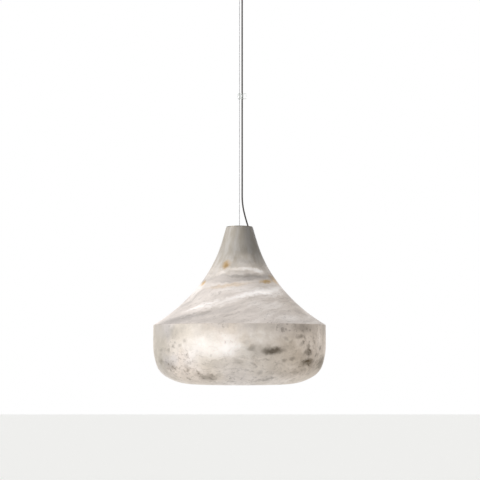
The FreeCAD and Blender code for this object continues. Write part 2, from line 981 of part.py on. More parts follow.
def make_terminal_screws():
    """Four clamping screws, their tips on the brass inserts."""
    master = lathe(
        "terminal_screw_master",
        [
            Corner(0, 0),
            Corner(dim.terminal_screw_radius, 0),
            Corner(dim.terminal_screw_radius, dim.terminal_screw_length),
            Corner(0, dim.terminal_screw_length),
        ],
    )
    top = number_of(terminal_axis - dim.insert_radius - dim.terminal_screw_length)
    start = number_of(dim.terminal_start)
    length = number_of(dim.terminal_length)
    pitch = number_of(dim.terminal_pitch)
    places = [
        FreeCAD.Placement(Vector(start + length * share, pitch * side, top), FreeCAD.Rotation())
        for share in SCREW_PLACES
        for side in (-1, 1)
    ]
    return copies("terminal_screws", master, places)


def make_block_screw():
    """The screw that holds the block up to the plate."""
    radius = dim.block_screw_radius
    head = dim.block_screw_head
    under = -dim.block_screw_head_height
    soft = dim.screw_rounding
    length = dim.terminal_height + dim.plate_thickness + dim.block_screw_reach
    return lathe(
        "block_screw",
        [
            Corner(0, under),
            Corner(head - soft, under),
            Corner(head, under + soft, soft, 1),
            Corner(head, 0),
            Corner(radius, 0),
            Corner(radius, length),
            Corner(0, length),
        ],
        (dim.terminal_start + dim.terminal_length / 2, 0, -dim.plate_drop - dim.terminal_height),
    )


# ---------------------------------------------------------------- hanging wire, cable and clip

cap_top = -dim.neck_depth + dim.cap_thickness
nipple_top = cap_top + dim.nipple_flange
stop_top = nipple_top - dim.nipple_roof


def make_suspension_wire():
    """Steel wire rope, straight under the lamp's weight."""
    wire = doc.addObject("Part::Cylinder", "suspension_wire")
    wire.Label = "suspension_wire"
    length = cords_top - stop_top
    wire.setExpression("Radius", dim.wire_radius.text)
    wire.setExpression("Height", length.text)
    place(wire, (0, 0, stop_top))
    return wire


def entry_point():
    """Where the cable crosses the cap's middle plane, inside the grommet, and its heading there."""
    slope = math.radians(number_of(dim.cable_entry_slope))
    heading = Vector(math.sin(slope), 0, -math.cos(slope))
    drop = number_of(dim.cap_thickness) / 2
    across = number_of(dim.cable_entry) + drop * math.tan(slope)
    return Vector(across, 0, number_of(cap_top) - drop), heading


def make_power_cable():
    """The free stretch of the power cable: straight beside the wire, then out to its grommet in the cap."""
    offset = number_of(dim.cable_offset)
    end, heading = entry_point()
    points = [
        Vector(offset, 0, number_of(cords_top)),
        Vector(offset, 0, -number_of(dim.bend_depth)),
        end - heading * number_of(dim.entry_run),
        end,
    ]
    return group("power_cable", [tube_along("power_cable", points, number_of(dim.cable_radius))])


def make_cable_clip():
    """Clear moulded clip: a block with a bore for the wire and one for the cable, a nub, and a finger loop."""
    half = dim.clip_height / 2
    clip = new_body("cable_clip", (0, 0, -dim.clip_drop))
    left = -dim.clip_left
    round_end = dim.clip_depth / 2
    padded(
        clip,
        "clip_block",
        "XY_Plane",
        -half,
        [[
            Corner(left + round_end, -round_end, round_end * NEAR_HALF_CIRCLE, 1),
            Corner(dim.clip_right - round_end, -round_end),
            Corner(dim.clip_right - round_end, round_end, round_end * NEAR_HALF_CIRCLE, 1),
            Corner(left + round_end, round_end),
        ]],
        dim.clip_height,
    )
    loop_start = dim.clip_right - dim.clip_loop_lap
    loop_end = dim.clip_right + dim.clip_loop_reach
    wall = dim.clip_loop_wall
    bend = half / 2
    padded(
        clip,
        "finger_loop",
        "XZ_Plane",
        0,
        [
            [
                Corner(loop_start, -half),
                Corner(loop_end - bend, -half),
                Corner(loop_end, -half + bend, bend, 1),
                Corner(loop_end, half - bend),
                Corner(loop_end - bend, half, bend, 1),
                Corner(loop_start, half),
            ],
            [
                Corner(loop_start + wall, -half + wall),
                Corner(loop_end - bend, -half + wall),
                Corner(loop_end - wall, -half + bend, bend - wall, 1),
                Corner(loop_end - wall, half - bend),
                Corner(loop_end - bend, half - wall, bend - wall, 1),
                Corner(loop_start + wall, half - wall),
            ],
        ],
        dim.clip_loop_depth,
        midplane=True,
    )
    nub_tip = left - dim.clip_nub_reach
    padded(clip, "left_nub", "YZ_Plane", nub_tip, [(0, 0, dim.clip_nub_radius)], dim.clip_nub_length)
    pocketed(
        clip,
        "clip_bores",
        "XY_Plane",
        0,
        [
            (0, 0, dim.wire_radius + dim.cable_bore_gap),
            (dim.cable_offset, 0, dim.cable_radius + dim.cable_bore_gap),
        ],
        dim.clip_height * 2,
        midplane=True,
    )
    return clip


# ---------------------------------------------------------------- cap, nipple and hickey

def make_wire_stop():
    """Crimped ferrule on the wire's lower end, resting inside the nipple."""
    return lathe(
        "wire_stop",
        [
            Corner(0, -dim.stop_length),
            Corner(dim.stop_radius, -dim.stop_length),
            Corner(dim.stop_radius, 0),
            Corner(0, 0),
        ],
        (0, 0, stop_top),
    )


def make_wire_nipple():
    """Flanged, threaded nipple: the wire enters its top and hangs it by the ferrule inside."""
    bore = dim.wire_radius + dim.cable_bore_gap
    flange = dim.nipple_flange
    bevel = flange / 2
    return lathe(
        "wire_nipple",
        [
            Corner(bore, flange),
            Corner(bore, flange - dim.nipple_roof),
            Corner(dim.nipple_cavity, flange - dim.nipple_roof),
            Corner(dim.nipple_cavity, -dim.nipple_length + flange),
            Corner(dim.thread_radius, -dim.nipple_length + flange),
            Corner(dim.thread_radius, 0),
            Corner(dim.nipple_flange_radius, 0),
            Corner(dim.nipple_flange_radius, bevel),
            Corner(dim.nipple_flange_radius - bevel, flange),
        ],
        (0, 0, cap_top),
    )


def make_top_cap():
    """Thin metal disc that closes the neck, with a lip inside the bore and a hole for the cable's grommet."""
    hole = dim.thread_radius + dim.fit_gap
    lip_outer = dim.neck_bore - dim.fit_gap
    cap = lathe(
        "top_cap",
        [
            Corner(hole, 0),
            Corner(lip_outer - dim.cap_lip, 0),
            Corner(lip_outer - dim.cap_lip, -dim.cap_lip_depth),
            Corner(lip_outer, -dim.cap_lip_depth),
            Corner(lip_outer, 0),
            Corner(dim.cap_radius, 0),
            Corner(dim.cap_radius, dim.cap_thickness),
            Corner(hole, dim.cap_thickness),
        ],
        (0, 0, -dim.neck_depth),
    )
    pocketed(
        cap,
        "cable_hole",
        "XY_Plane",
        0,
        [(dim.cable_entry, 0, dim.grommet_body + dim.running_gap)],
        dim.cap_thickness * 3,
        midplane=True,
    )
    return cap


def make_cable_grommet():
    """Rubber grommet in the cap, its bore tilted the way that the cable arrives."""
    body = dim.grommet_body
    wide = dim.grommet_flange_radius
    thick = dim.cap_thickness
    edge = dim.grommet_flange
    blank = lathe(
        "cable_grommet_blank",
        [
            Corner(0, -edge),
            Corner(wide, -edge),
            Corner(wide, 0),
            Corner(body, 0),
            Corner(body, thick),
            Corner(wide, thick),
            Corner(wide, thick + edge),
            Corner(0, thick + edge),
        ],
        (dim.cable_entry, 0, -dim.neck_depth),
    )
    end, heading = entry_point()
    bore = doc.addObject("Part::Cylinder", "cable_grommet_bore")
    bore.setExpression("Radius", (dim.cable_radius + dim.cable_bore_gap).text)
    bore.setExpression("Height", (dim.cap_thickness * 8.0).text)
    reach = number_of(dim.cap_thickness) * 4.0
    bore.Placement = FreeCAD.Placement(
        end - heading * reach, FreeCAD.Rotation(Vector(0, 0, 1), heading)
    )
    grommet = doc.addObject("Part::Cut", "cable_grommet")
    grommet.Label = "cable_grommet"
    grommet.Base = blank
    grommet.Tool = bore
    return grommet


hickey_top = -dim.neck_depth
window_top = hickey_top - dim.hickey_boss
window_low = window_top - dim.hickey_window
hickey_low = window_low - dim.hickey_boss


def make_hickey():
    """Cast stirrup between nipple and stem tube, open at the sides so that the lead can enter the tube."""
    hickey = new_body("hickey", (0, 0, hickey_low))
    height = hickey_top - hickey_low
    outer = dim.hickey_arm_outer
    inner = dim.hickey_arm_inner
    low = window_low - hickey_low
    high = window_top - hickey_low
    band = low - dim.hickey_band
    crown = high + dim.hickey_band
    soft = outer - inner
    padded(
        hickey,
        "stirrup",
        "YZ_Plane",
        0,
        [
            [
                Corner(-outer + soft, band, soft, 1),
                Corner(outer - soft, band),
                Corner(outer, band + soft, soft, 1),
                Corner(outer, crown - soft),
                Corner(outer - soft, crown, soft, 1),
                Corner(-outer + soft, crown),
                Corner(-outer, crown - soft, soft, 1),
                Corner(-outer, band + soft),
            ],
            rectangle(-inner, inner, low, high),
        ],
        dim.hickey_depth,
        midplane=True,
    )
    for label, start, length in (("low_boss", 0, low), ("top_boss", high, height - high)):
        padded(hickey, label, "XY_Plane", start, [(0, 0, dim.hickey_boss_radius)], length)
    pocketed(
        hickey,
        "thread_bore",
        "XY_Plane",
        0,
        [(0, 0, dim.thread_radius + dim.running_gap)],
        height * 3,
        midplane=True,
    )
    return hickey


def make_lamp_lead():
    """The cable inside the lamp: from the grommet through the hickey's window and down the stem tube."""
    start, heading = entry_point()
    bends = [number_of(dim.lead_turn), number_of(dim.lead_bend)]
    corner = start + heading * number_of(dim.lead_turn_reach)
    low_corner = Vector(0, 0, number_of(window_low + dim.lead_mouth_rise))
    end = Vector(0, 0, number_of(tube_end - dim.lead_end_drop))
    points = [start, corner, low_corner, end]
    return group("lamp_lead", [tube_along("lamp_lead", points, number_of(dim.cable_radius), bends)])


# ---------------------------------------------------------------- stem, plate and nuts

shoulder = -dim.neck_depth - dim.shoulder_depth
disc_top = shoulder - dim.gasket_thickness
disc_low = disc_top - dim.plate_disc
tube_end = -dim.neck_depth - dim.tube_end_depth


def make_stem_tube():
    """Threaded steel tube, from the hickey down to the lampholder."""
    tube_top = window_low - dim.tube_top_gap
    return lathe(
        "stem_tube",
        [
            Corner(dim.tube_bore, 0),
            Corner(dim.thread_radius, 0),
            Corner(dim.thread_radius, tube_top - tube_end),
            Corner(dim.tube_bore, tube_top - tube_end),
        ],
        (0, 0, tube_end),
    )


def make_plate_gasket():
    """Silicone ring between the steel plate and the stone's inner shoulder."""
    return lathe(
        "plate_gasket",
        [
            Corner(dim.gasket_inner, 0),
            Corner(dim.gasket_radius, 0),
            Corner(dim.gasket_radius, dim.gasket_thickness),
            Corner(dim.gasket_inner, dim.gasket_thickness),
        ],
        (0, 0, disc_top),
    )


def make_support_plate():
    """Steel disc that carries the stone from inside, with three vents."""
    rim = dim.gasket_radius
    soft = dim.plate_disc / 3
    plate = lathe(
        "support_plate",
        [
            Corner(dim.thread_radius + dim.fit_gap, 0),
            Corner(rim - soft, 0),
            Corner(rim, soft, soft, 1),
            Corner(rim, dim.plate_disc),
            Corner(dim.thread_radius + dim.fit_gap, dim.plate_disc),
        ],
        (0, 0, disc_low),
    )
    vent = pocketed(
        plate,
        "vent",
        "XY_Plane",
        0,
        [(dim.vent_pitch, 0, dim.vent_radius)],
        dim.plate_disc * 3,
        midplane=True,
    )
    around(plate, vent, 3, "vents")
    return plate


def make_plate_nuts():
    """Two hexagon nuts locked together under the plate."""
    master = hexagon(
        "plate_nut_master",
        dim.stem_nut_flats,
        dim.stem_nut_height,
        dim.thread_radius + dim.running_gap,
        (0, 0, 0),
    )
    height = number_of(dim.stem_nut_height)
    turn = number_of(dim.stem_nut_turn)
    places = [
        FreeCAD.Placement(
            Vector(0, 0, number_of(disc_low) - height * k), FreeCAD.Rotation(Vector(0, 0, 1), turn * k)
        )
        for k in (1, 2)
    ]
    return copies("plate_nuts", master, places)


# ---------------------------------------------------------------- stone

def inward(radius, depth, slope, rising):
    """The point of the inner face that lies one wall inside an outer point where the outline has that slope."""
    back = dim.stone_wall * slope.cosine()
    lift = dim.stone_wall * slope.sine()
    return radius - back, (-depth - lift if rising else -depth + lift)


# Radii of the drum's outline, where its arcs meet, and of the tongue at its top.
haunch_radius = dim.drum_radius - dim.haunch_inset
turn_radius = dim.drum_radius - dim.turn_inset
mouth_radius = dim.drum_radius - dim.mouth_inset
tongue_inner = dim.drum_radius - dim.tongue_setback
tongue_outer = tongue_inner + dim.tongue_width

# Depths of the same meeting points, each measured down from the one above.
side_depth = dim.crease_depth + dim.side_height
haunch_depth = side_depth + dim.haunch_fall
turn_depth = haunch_depth + dim.turn_fall
stone_depth = turn_depth + dim.mouth_fall

# Radius of the bell's inner face on the plane of the crease.
crease_inner = dim.drum_radius - dim.stone_wall / dim.crease_slope.cosine()


def make_upper_bell():
    """Turned alabaster funnel: a straight neck bore, a shoulder inside, and a wall that follows the flare."""
    flare = inward(dim.flare_radius, dim.flare_depth, dim.flare_slope, True)
    groove_floor = -dim.crease_depth + dim.tongue_height + dim.tongue_gap
    return lathe(
        "upper_bell",
        [
            Corner(dim.neck_bore, 0),
            Corner(dim.neck_bore, -dim.shoulder_depth),
            Corner(dim.shoulder_radius, -dim.shoulder_depth),
            Corner(flare[0], flare[1], dim.waist_curve + dim.stone_wall, 1),
            Corner(crease_inner, -dim.crease_depth, dim.flare_curve + dim.stone_wall, 1),
            Corner(tongue_inner - dim.tongue_gap, -dim.crease_depth),
            Corner(tongue_inner - dim.tongue_gap, groove_floor),
            Corner(tongue_outer + dim.tongue_gap, groove_floor),
            Corner(tongue_outer + dim.tongue_gap, -dim.crease_depth),
            Corner(dim.drum_radius, -dim.crease_depth),
            Corner(dim.flare_radius, -dim.flare_depth, dim.flare_curve, -1),
            Corner(dim.waist_radius, -dim.waist_depth, dim.waist_curve, -1),
            Corner(dim.neck_radius, 0, dim.neck_curve, -1),
        ],
        (0, 0, -dim.neck_depth),
    )


def make_lower_drum():
    """Turned alabaster drum: a straight side that rounds in to an open mouth, with a tongue for the bell."""
    haunch = inward(haunch_radius, haunch_depth, dim.haunch_slope, False)
    turn = inward(turn_radius, turn_depth, dim.turn_slope, False)
    wall = dim.stone_wall
    top = -dim.crease_depth
    inner = dim.drum_radius - wall
    chamfer = (inner - crease_inner) / dim.crease_slope.tangent()
    return lathe(
        "lower_drum",
        [
            Corner(crease_inner, top),
            Corner(inner, top - chamfer),
            Corner(inner, -side_depth),
            Corner(haunch[0], haunch[1], dim.side_curve - wall, -1),
            Corner(turn[0], turn[1], dim.haunch_curve - wall, -1),
            Corner(mouth_radius, -stone_depth + wall, dim.base_curve - wall, -1),
            Corner(mouth_radius, -stone_depth, wall / 2 * NEAR_HALF_CIRCLE, 1),
            Corner(turn_radius, -turn_depth, dim.base_curve, 1),
            Corner(haunch_radius, -haunch_depth, dim.haunch_curve, 1),
            Corner(dim.drum_radius, -side_depth, dim.side_curve, 1),
            Corner(dim.drum_radius, top),
            Corner(tongue_outer, top),
            Corner(tongue_outer, top + dim.tongue_height),
            Corner(tongue_inner, top + dim.tongue_height),
            Corner(tongue_inner, top),
        ],
        (0, 0, -dim.neck_depth),
    )


# ---------------------------------------------------------------- lampholder

holder_top = tube_end + dim.holder_grip
cap_low = holder_top - dim.holder_cap_height
skirt_low = cap_low - dim.skirt_height
core_low = cap_low - dim.core_disc_height


def make_lampholder_cap():
    """Domed cap screwed to the end of the stem tube."""
    radius = dim.holder_radius
    wall = dim.holder_wall
    neck = dim.holder_neck_radius
    dome = dim.dome_curve
    neck_low = dim.holder_cap_height - dim.holder_neck
    return lathe(
        "lampholder_cap",
        [
            Corner(dim.thread_radius + dim.running_gap, dim.holder_cap_height),
            Corner(dim.thread_radius + dim.running_gap, neck_low - wall),
            Corner(neck, neck_low - wall),
            Corner(radius - wall, 0, dome - wall, -1),
            Corner(radius, 0),
            Corner(neck, neck_low, dome, 1),
            Corner(neck, dim.holder_cap_height),
        ],
        (0, 0, cap_low),
    )


def make_lampholder_skirt():
    """Cylindrical outer sleeve of the holder, with a rolled lower rim."""
    radius = dim.holder_radius
    wall = dim.holder_wall
    return lathe(
        "lampholder_skirt",
        [
            Corner(radius - wall, dim.skirt_height),
            Corner(radius - wall, 0),
            Corner(radius + dim.skirt_rim, 0),
            Corner(radius + dim.skirt_rim, wall),
            Corner(radius, wall * 2),
            Corner(radius, dim.skirt_height),
        ],
        (0, 0, skirt_low),
    )


def make_lampholder_core():
    """Porcelain insert that carries the brass shell and the centre contact."""
    radius = dim.holder_radius - dim.holder_wall - dim.running_gap
    collar = dim.shell_radius - dim.shell_wall - dim.running_gap
    return lathe(
        "lampholder_core",
        [
            Corner(0, 0),
            Corner(collar - dim.shell_wall, 0),
            Corner(collar - dim.shell_wall, -dim.contact_drop),
            Corner(collar, -dim.contact_drop),
            Corner(collar, 0),
            Corner(radius, 0),
            Corner(radius, dim.core_shoulder),
            Corner(dim.core_disc_radius, dim.core_disc_height),
            Corner(0, dim.core_disc_height),
        ],
        (0, 0, core_low),
    )


def make_screw_shell():
    """Brass sleeve that takes the bulb's thread, here plain."""
    outer = dim.shell_radius
    return lathe(
        "screw_shell",
        [
            Corner(outer - dim.shell_wall, 0),
            Corner(outer, 0),
            Corner(outer, dim.shell_length),
            Corner(outer - dim.shell_wall, dim.shell_length),
        ],
        (0, 0, core_low - dim.shell_length),
    )


def make_centre_contact():
    """Spring leaf of brass at the bottom of the holder."""
    contact = new_body("centre_contact", (0, 0, core_low - dim.contact_thickness))
    half = dim.contact_width / 2
    heel = half - dim.contact_length + half
    padded(
        contact,
        "leaf",
        "XY_Plane",
        0,
        [[
            Corner(heel, -half),
            Corner(half, -half),
            Corner(half, half, half * NEAR_HALF_CIRCLE, 1),
            Corner(heel, half),
        ]],
        dim.contact_thickness,
    )
    return contact


# ---------------------------------------------------------------- bulb

bulb_top = core_low - dim.contact_thickness - dim.wire_bore_gap
thread_top = bulb_top - dim.bulb_dot - dim.bulb_cone
thread_low = thread_top - dim.bulb_thread_length


def make_bulb_contact():
    """Solder dot at the top of the bulb's cap."""
    return lathe(
        "bulb_contact",
        [
            Corner(0, 0),
            Corner(dim.bulb_dot_radius, 0),
            Corner(dim.bulb_dot_radius - dim.bulb_dot, dim.bulb_dot, dim.bulb_dot, 1),
            Corner(0, dim.bulb_dot),
        ],
        (0, 0, bulb_top - dim.bulb_dot),
    )


def make_bulb_insulator():
    """Black glass cone between the contact and the threaded cap."""
    return lathe(
        "bulb_insulator",
        [
            Corner(0, 0),
            Corner(dim.bulb_thread_radius - dim.bulb_wall, 0),
            Corner(dim.bulb_dot_radius, dim.bulb_cone),
            Corner(0, dim.bulb_cone),
        ],
        (0, 0, thread_top),
    )


def make_bulb_cap():
    """Threaded metal cap of the bulb, here plain, closed at its top round the insulator."""
    radius = dim.bulb_thread_radius
    wall = dim.bulb_wall
    length = dim.bulb_thread_length
    return lathe(
        "bulb_cap",
        [
            Corner(radius - wall, 0),
            Corner(radius, 0),
            Corner(radius, length - wall),
            Corner(radius - wall, length, wall, 1),
            Corner(0, length),
            Corner(0, length - wall),
            Corner(radius - wall, length - wall),
        ],
        (0, 0, thread_low),
    )


def make_bulb_globe():
    """Opal glass globe, hollow, drawn in to a short neck with a hollow fillet."""
    radius = dim.globe_radius
    wall = dim.bulb_wall
    neck = dim.bulb_thread_radius
    fillet = dim.globe_fillet
    centre = -dim.globe_drop
    rim = -dim.running_gap
    reach = radius + fillet
    rise = Length(
        math.sqrt(number_of(reach) ** 2 - number_of(neck + fillet) ** 2),
        f"sqrt({reach.text}^2 - {(neck + fillet).text}^2)",
    )
    meet = centre + rise
    outer = radius / reach
    inner = (radius - wall) / reach
    return lathe(
        "bulb_globe",
        [
            Corner(neck - wall, rim),
            Corner(neck - wall, meet),
            Corner((neck + fillet) * inner, centre + rise * inner, fillet + wall, 1),
            Corner(radius - wall, centre, radius - wall, -1),
            Corner(0, centre - radius + wall, radius - wall, -1),
            Corner(0, centre - radius),
            Corner(radius, centre, radius, 1),
            Corner((neck + fillet) * outer, centre + rise * outer, radius, 1),
            Corner(neck, meet, fillet, -1),
            Corner(neck, rim),
        ],
        (0, 0, thread_low),
    )


def make_led_column():
    """Ceramic post with the bulb's light emitters, standing on the bulb's cap."""
    radius = dim.led_column_radius
    soft = dim.column_rounding
    return lathe(
        "bulb_led_column",
        [
            Corner(0, dim.bulb_thread_length - dim.bulb_wall),
            Corner(0, -dim.led_column_length),
            Corner(radius - soft, -dim.led_column_length),
            Corner(radius, -dim.led_column_length + soft, soft, 1),
            Corner(radius, dim.bulb_thread_length - dim.bulb_wall),
        ],
        (0, 0, thread_low),
    )


# ---------------------------------------------------------------- build, check and write

pieces = [
    make_ceiling_plate(),
    make_supply_grommet(),
    make_gripper_body(),
    make_gripper_nut(),
    make_gripper_spring(),
    make_gripper_washer(),
    make_gripper_balls(),
    make_gripper_plunger(),
    *make_wire_tail(),
    make_cable_tail(),
    make_cable_cores(),
    make_terminal_block(),
    make_terminal_inserts(),
    make_terminal_screws(),
    make_block_screw(),
    make_canopy_cup(),
    make_canopy_screws(),
    make_exit_ring(),
    make_swivel_bush(),
    make_suspension_wire(),
    make_power_cable(),
    make_cable_clip(),
    make_wire_stop(),
    make_wire_nipple(),
    make_top_cap(),
    make_cable_grommet(),
    make_hickey(),
    make_lamp_lead(),
    make_stem_tube(),
    make_plate_gasket(),
    make_support_plate(),
    make_plate_nuts(),
    make_upper_bell(),
    make_lower_drum(),
    make_lampholder_cap(),
    make_lampholder_skirt(),
    make_lampholder_core(),
    make_screw_shell(),
    make_centre_contact(),
    make_bulb_contact(),
    make_bulb_insulator(),
    make_bulb_cap(),
    make_bulb_globe(),
    make_led_column(),
]
doc.recompute()

faults = [f"{o.Name}: {o.State}" for o in doc.Objects if "Invalid" in o.State or "Error" in o.State]
for piece in pieces:
    if piece.Shape.isNull() or not piece.Shape.isValid() or not piece.Shape.Solids:
        faults.append(f"{piece.Label}: no valid solid")
if faults:
    raise RuntimeError("; ".join(faults))

os.makedirs("parts", exist_ok=True)
for piece in pieces:
    piece.Shape.exportStep(f"parts/{piece.Label}.step")
print(len(pieces), "pieces written")
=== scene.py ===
import math

import bpy
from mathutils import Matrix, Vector


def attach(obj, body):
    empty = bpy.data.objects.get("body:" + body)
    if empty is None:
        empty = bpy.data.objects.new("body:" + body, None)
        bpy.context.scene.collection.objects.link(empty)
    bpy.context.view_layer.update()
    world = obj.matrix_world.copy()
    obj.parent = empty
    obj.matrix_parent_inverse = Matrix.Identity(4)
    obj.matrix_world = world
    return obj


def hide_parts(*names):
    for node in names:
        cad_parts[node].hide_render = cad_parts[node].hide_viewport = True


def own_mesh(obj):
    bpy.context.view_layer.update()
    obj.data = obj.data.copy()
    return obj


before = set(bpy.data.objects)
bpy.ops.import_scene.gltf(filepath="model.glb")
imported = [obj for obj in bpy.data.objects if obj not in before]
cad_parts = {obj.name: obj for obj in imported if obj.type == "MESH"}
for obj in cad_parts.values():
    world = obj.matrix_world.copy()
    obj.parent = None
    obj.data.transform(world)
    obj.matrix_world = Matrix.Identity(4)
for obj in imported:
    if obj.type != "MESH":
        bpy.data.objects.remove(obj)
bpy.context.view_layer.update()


# ---------------------------------------------------------------- ceiling plate and supply grommet
# A pressed steel plate is screwed to the ceiling through four holes. It is zinc plated, and the
# house cable comes through a black rubber grommet snapped into a hole beside the middle.


def tint(red, green, blue):
    """A colour given as it looks on a screen, 0 to 255, in the numbers that shaders take."""
    parts = []
    for part in (red, green, blue):
        part = part / 255
        parts.append(part / 12.92 if part < 0.04045 else ((part + 0.055) / 1.055) ** 2.4)
    return (*parts, 1)


def new_finish(name, colour, roughness, metallic=0.0):
    """A material with one main shader, in one colour to begin with."""
    finish = bpy.data.materials.new(name)
    finish.use_nodes = True
    finish.diffuse_color = colour
    tree = finish.node_tree
    tree.nodes.clear()
    out = tree.nodes.new("ShaderNodeOutputMaterial")
    shader = tree.nodes.new("ShaderNodeBsdfPrincipled")
    shader.inputs["Base Color"].default_value = colour
    shader.inputs["Roughness"].default_value = roughness
    shader.inputs["Metallic"].default_value = metallic
    tree.links.new(shader.outputs["BSDF"], out.inputs["Surface"])
    return finish, shader


def put(finish, value, socket):
    """Writes a number or colour into a socket, or links another node's output to it."""
    if isinstance(value, bpy.types.NodeSocket):
        finish.node_tree.links.new(value, socket)
    else:
        socket.default_value = value


def maths(finish, operation, *values, clamp=False):
    """One sum of a surface pattern."""
    node = finish.node_tree.nodes.new("ShaderNodeMath")
    node.operation = operation
    node.use_clamp = clamp
    for socket, value in zip(node.inputs, values):
        put(finish, value, socket)
    return node.outputs[0]


def vector_maths(finish, operation, *values, output=0):
    """One sum on places or directions."""
    node = finish.node_tree.nodes.new("ShaderNodeVectorMath")
    node.operation = operation
    for socket, value in zip(node.inputs, values):
        put(finish, value, socket)
    return node.outputs[output]


def surface_place(finish, stretch=(1, 1, 1)):
    """Each point's place on the piece, in metres, stretched for a grain that runs one way."""
    place = finish.node_tree.nodes.new("ShaderNodeTexCoord").outputs["Object"]
    if tuple(stretch) == (1, 1, 1):
        return place
    return vector_maths(finish, "MULTIPLY", place, stretch)


def clouds(finish, place, per_metre, detail=3.0, roughness=0.5, distortion=0.0, output="Fac"):
    """Soft random patches, so many to the metre."""
    node = finish.node_tree.nodes.new("ShaderNodeTexNoise")
    put(finish, place, node.inputs["Vector"])
    node.inputs["Scale"].default_value = per_metre
    node.inputs["Detail"].default_value = detail
    node.inputs["Roughness"].default_value = roughness
    node.inputs["Distortion"].default_value = distortion
    return node.outputs[output]


def fade(finish, value, low, high, at_low=0.0, at_high=1.0):
    """Turns smoothly from one level at low to another at high."""
    node = finish.node_tree.nodes.new("ShaderNodeMapRange")
    node.interpolation_type = "SMOOTHSTEP"
    put(finish, value, node.inputs["Value"])
    for name, number in (("From Min", low), ("From Max", high), ("To Min", at_low), ("To Max", at_high)):
        node.inputs[name].default_value = number
    return node.outputs["Result"]


def blended(finish, share, first, second):
    """Two colours laid over each other by a share."""
    node = finish.node_tree.nodes.new("ShaderNodeMix")
    node.data_type = "RGBA"
    put(finish, share, node.inputs[0])
    put(finish, first, node.inputs[6])
    put(finish, second, node.inputs[7])
    return node.outputs[2]


def relief(finish, shader, height, metres):
    """Fine dents and grain in the surface, that deep."""
    node = finish.node_tree.nodes.new("ShaderNodeBump")
    node.inputs["Strength"].default_value = 1.0
    node.inputs["Distance"].default_value = metres
    put(finish, height, node.inputs["Height"])
    finish.node_tree.links.new(node.outputs["Normal"], shader.inputs["Normal"])


def darker(colour, share):
    """The same colour with less light in it."""
    return (colour[0] * share, colour[1] * share, colour[2] * share, 1)


def worked_metal(name, colour, roughness, per_metre, stretch=(1, 1, 1), depth=0.00002, spread=0.16):
    """Bare or plated metal, with grain along its working and dull handled patches."""
    finish, shader = new_finish(name, colour, roughness, 1.0)
    grain = clouds(finish, surface_place(finish, stretch), per_metre, 4.0, 0.6)
    patches = clouds(finish, surface_place(finish), per_metre / 9, 2.0)
    both = maths(finish, "MULTIPLY_ADD", patches, 0.6, maths(finish, "MULTIPLY", grain, 0.4))
    shade = fade(finish, both, 0.3, 0.7)
    put(finish, blended(finish, shade, darker(colour, 1 - spread * 2), colour), shader.inputs["Base Color"])
    gloss = fade(finish, both, 0.3, 0.7, roughness + spread * 0.6, max(0.08, roughness - spread * 0.3))
    put(finish, gloss, shader.inputs["Roughness"])
    relief(finish, shader, grain, depth)
    return finish


def moulded(name, colour, roughness, per_metre, depth=0.00002, spread=0.06, specular=0.5):
    """Moulded plastic or rubber, with a fine eroded skin and a little uneven colour."""
    finish, shader = new_finish(name, colour, roughness)
    shader.inputs["Specular IOR Level"].default_value = specular
    skin = clouds(finish, surface_place(finish), per_metre, 3.0, 0.55)
    cast = clouds(finish, surface_place(finish), per_metre / 25, 2.0)
    shade = fade(finish, cast, 0.35, 0.65)
    put(finish, blended(finish, shade, darker(colour, 1 - spread * 2), colour), shader.inputs["Base Color"])
    gloss = fade(finish, skin, 0.35, 0.65, roughness - 0.06, roughness + 0.08)
    put(finish, gloss, shader.inputs["Roughness"])
    relief(finish, shader, skin, depth)
    return finish


def dress(nodes, finish):
    """Gives CAD pieces their real finish."""
    for name in nodes:
        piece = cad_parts[name]
        if not piece.material_slots:
            piece.data.materials.append(finish)
        for place in piece.material_slots:
            place.material = finish


zinc_plate = worked_metal("zinc_plated_steel", tint(196, 199, 202), 0.34, 900, (1, 1, 1), 0.000012)
black_rubber = moulded("black_rubber", tint(38, 38, 39), 0.72, 2600, 0.00003, 0.1, 0.35)
dress(["ceiling_plate"], zinc_plate)
dress(["supply_grommet"], black_rubber)


# ---------------------------------------------------------------- wire gripper
# A turned brass body, nickel plated, hangs from the plate by its nut. Three steel balls, pushed
# down a cone by a small spring, grip the wire, and the plunger under it frees them.

nickel_plate = worked_metal("nickel_plated_brass", tint(205, 200, 190), 0.22, 1500, (1, 1, 12), 0.000006)
bright_steel = worked_metal("bright_steel", tint(206, 206, 207), 0.2, 1800, (1, 1, 6), 0.000004, 0.12)
dress(["gripper_body", "gripper_nut", "gripper_plunger"], nickel_plate)
dress(["gripper_washer", "gripper_balls"], bright_steel)


def cross_directions(places):
    """Two directions across the line at each place, carried along it without twisting."""
    across = Vector((1, 0, 0))
    pairs = []
    for k, place in enumerate(places):
        ahead = (places[min(k + 1, len(places) - 1)] - places[max(k - 1, 0)]).normalized()
        if abs(across.dot(ahead)) > 0.95:
            across = Vector((0, 1, 0))
        across = (across - ahead * across.dot(ahead)).normalized()
        pairs.append((across.copy(), ahead.cross(across)))
    return pairs


def new_piece(name, points, faces, finish, smooth_below=40):
    """A mesh piece in its finish, with edges sharper than that many degrees kept crisp."""
    mesh = bpy.data.meshes.new(name)
    mesh.from_pydata([tuple(p) for p in points], [], faces)
    mesh.update()
    mesh.validate()
    mesh.shade_smooth()
    mesh.set_sharp_from_angle(angle=math.radians(smooth_below))
    mesh.materials.append(finish)
    piece = bpy.data.objects.new(name, mesh)
    bpy.context.scene.collection.objects.link(piece)
    return piece


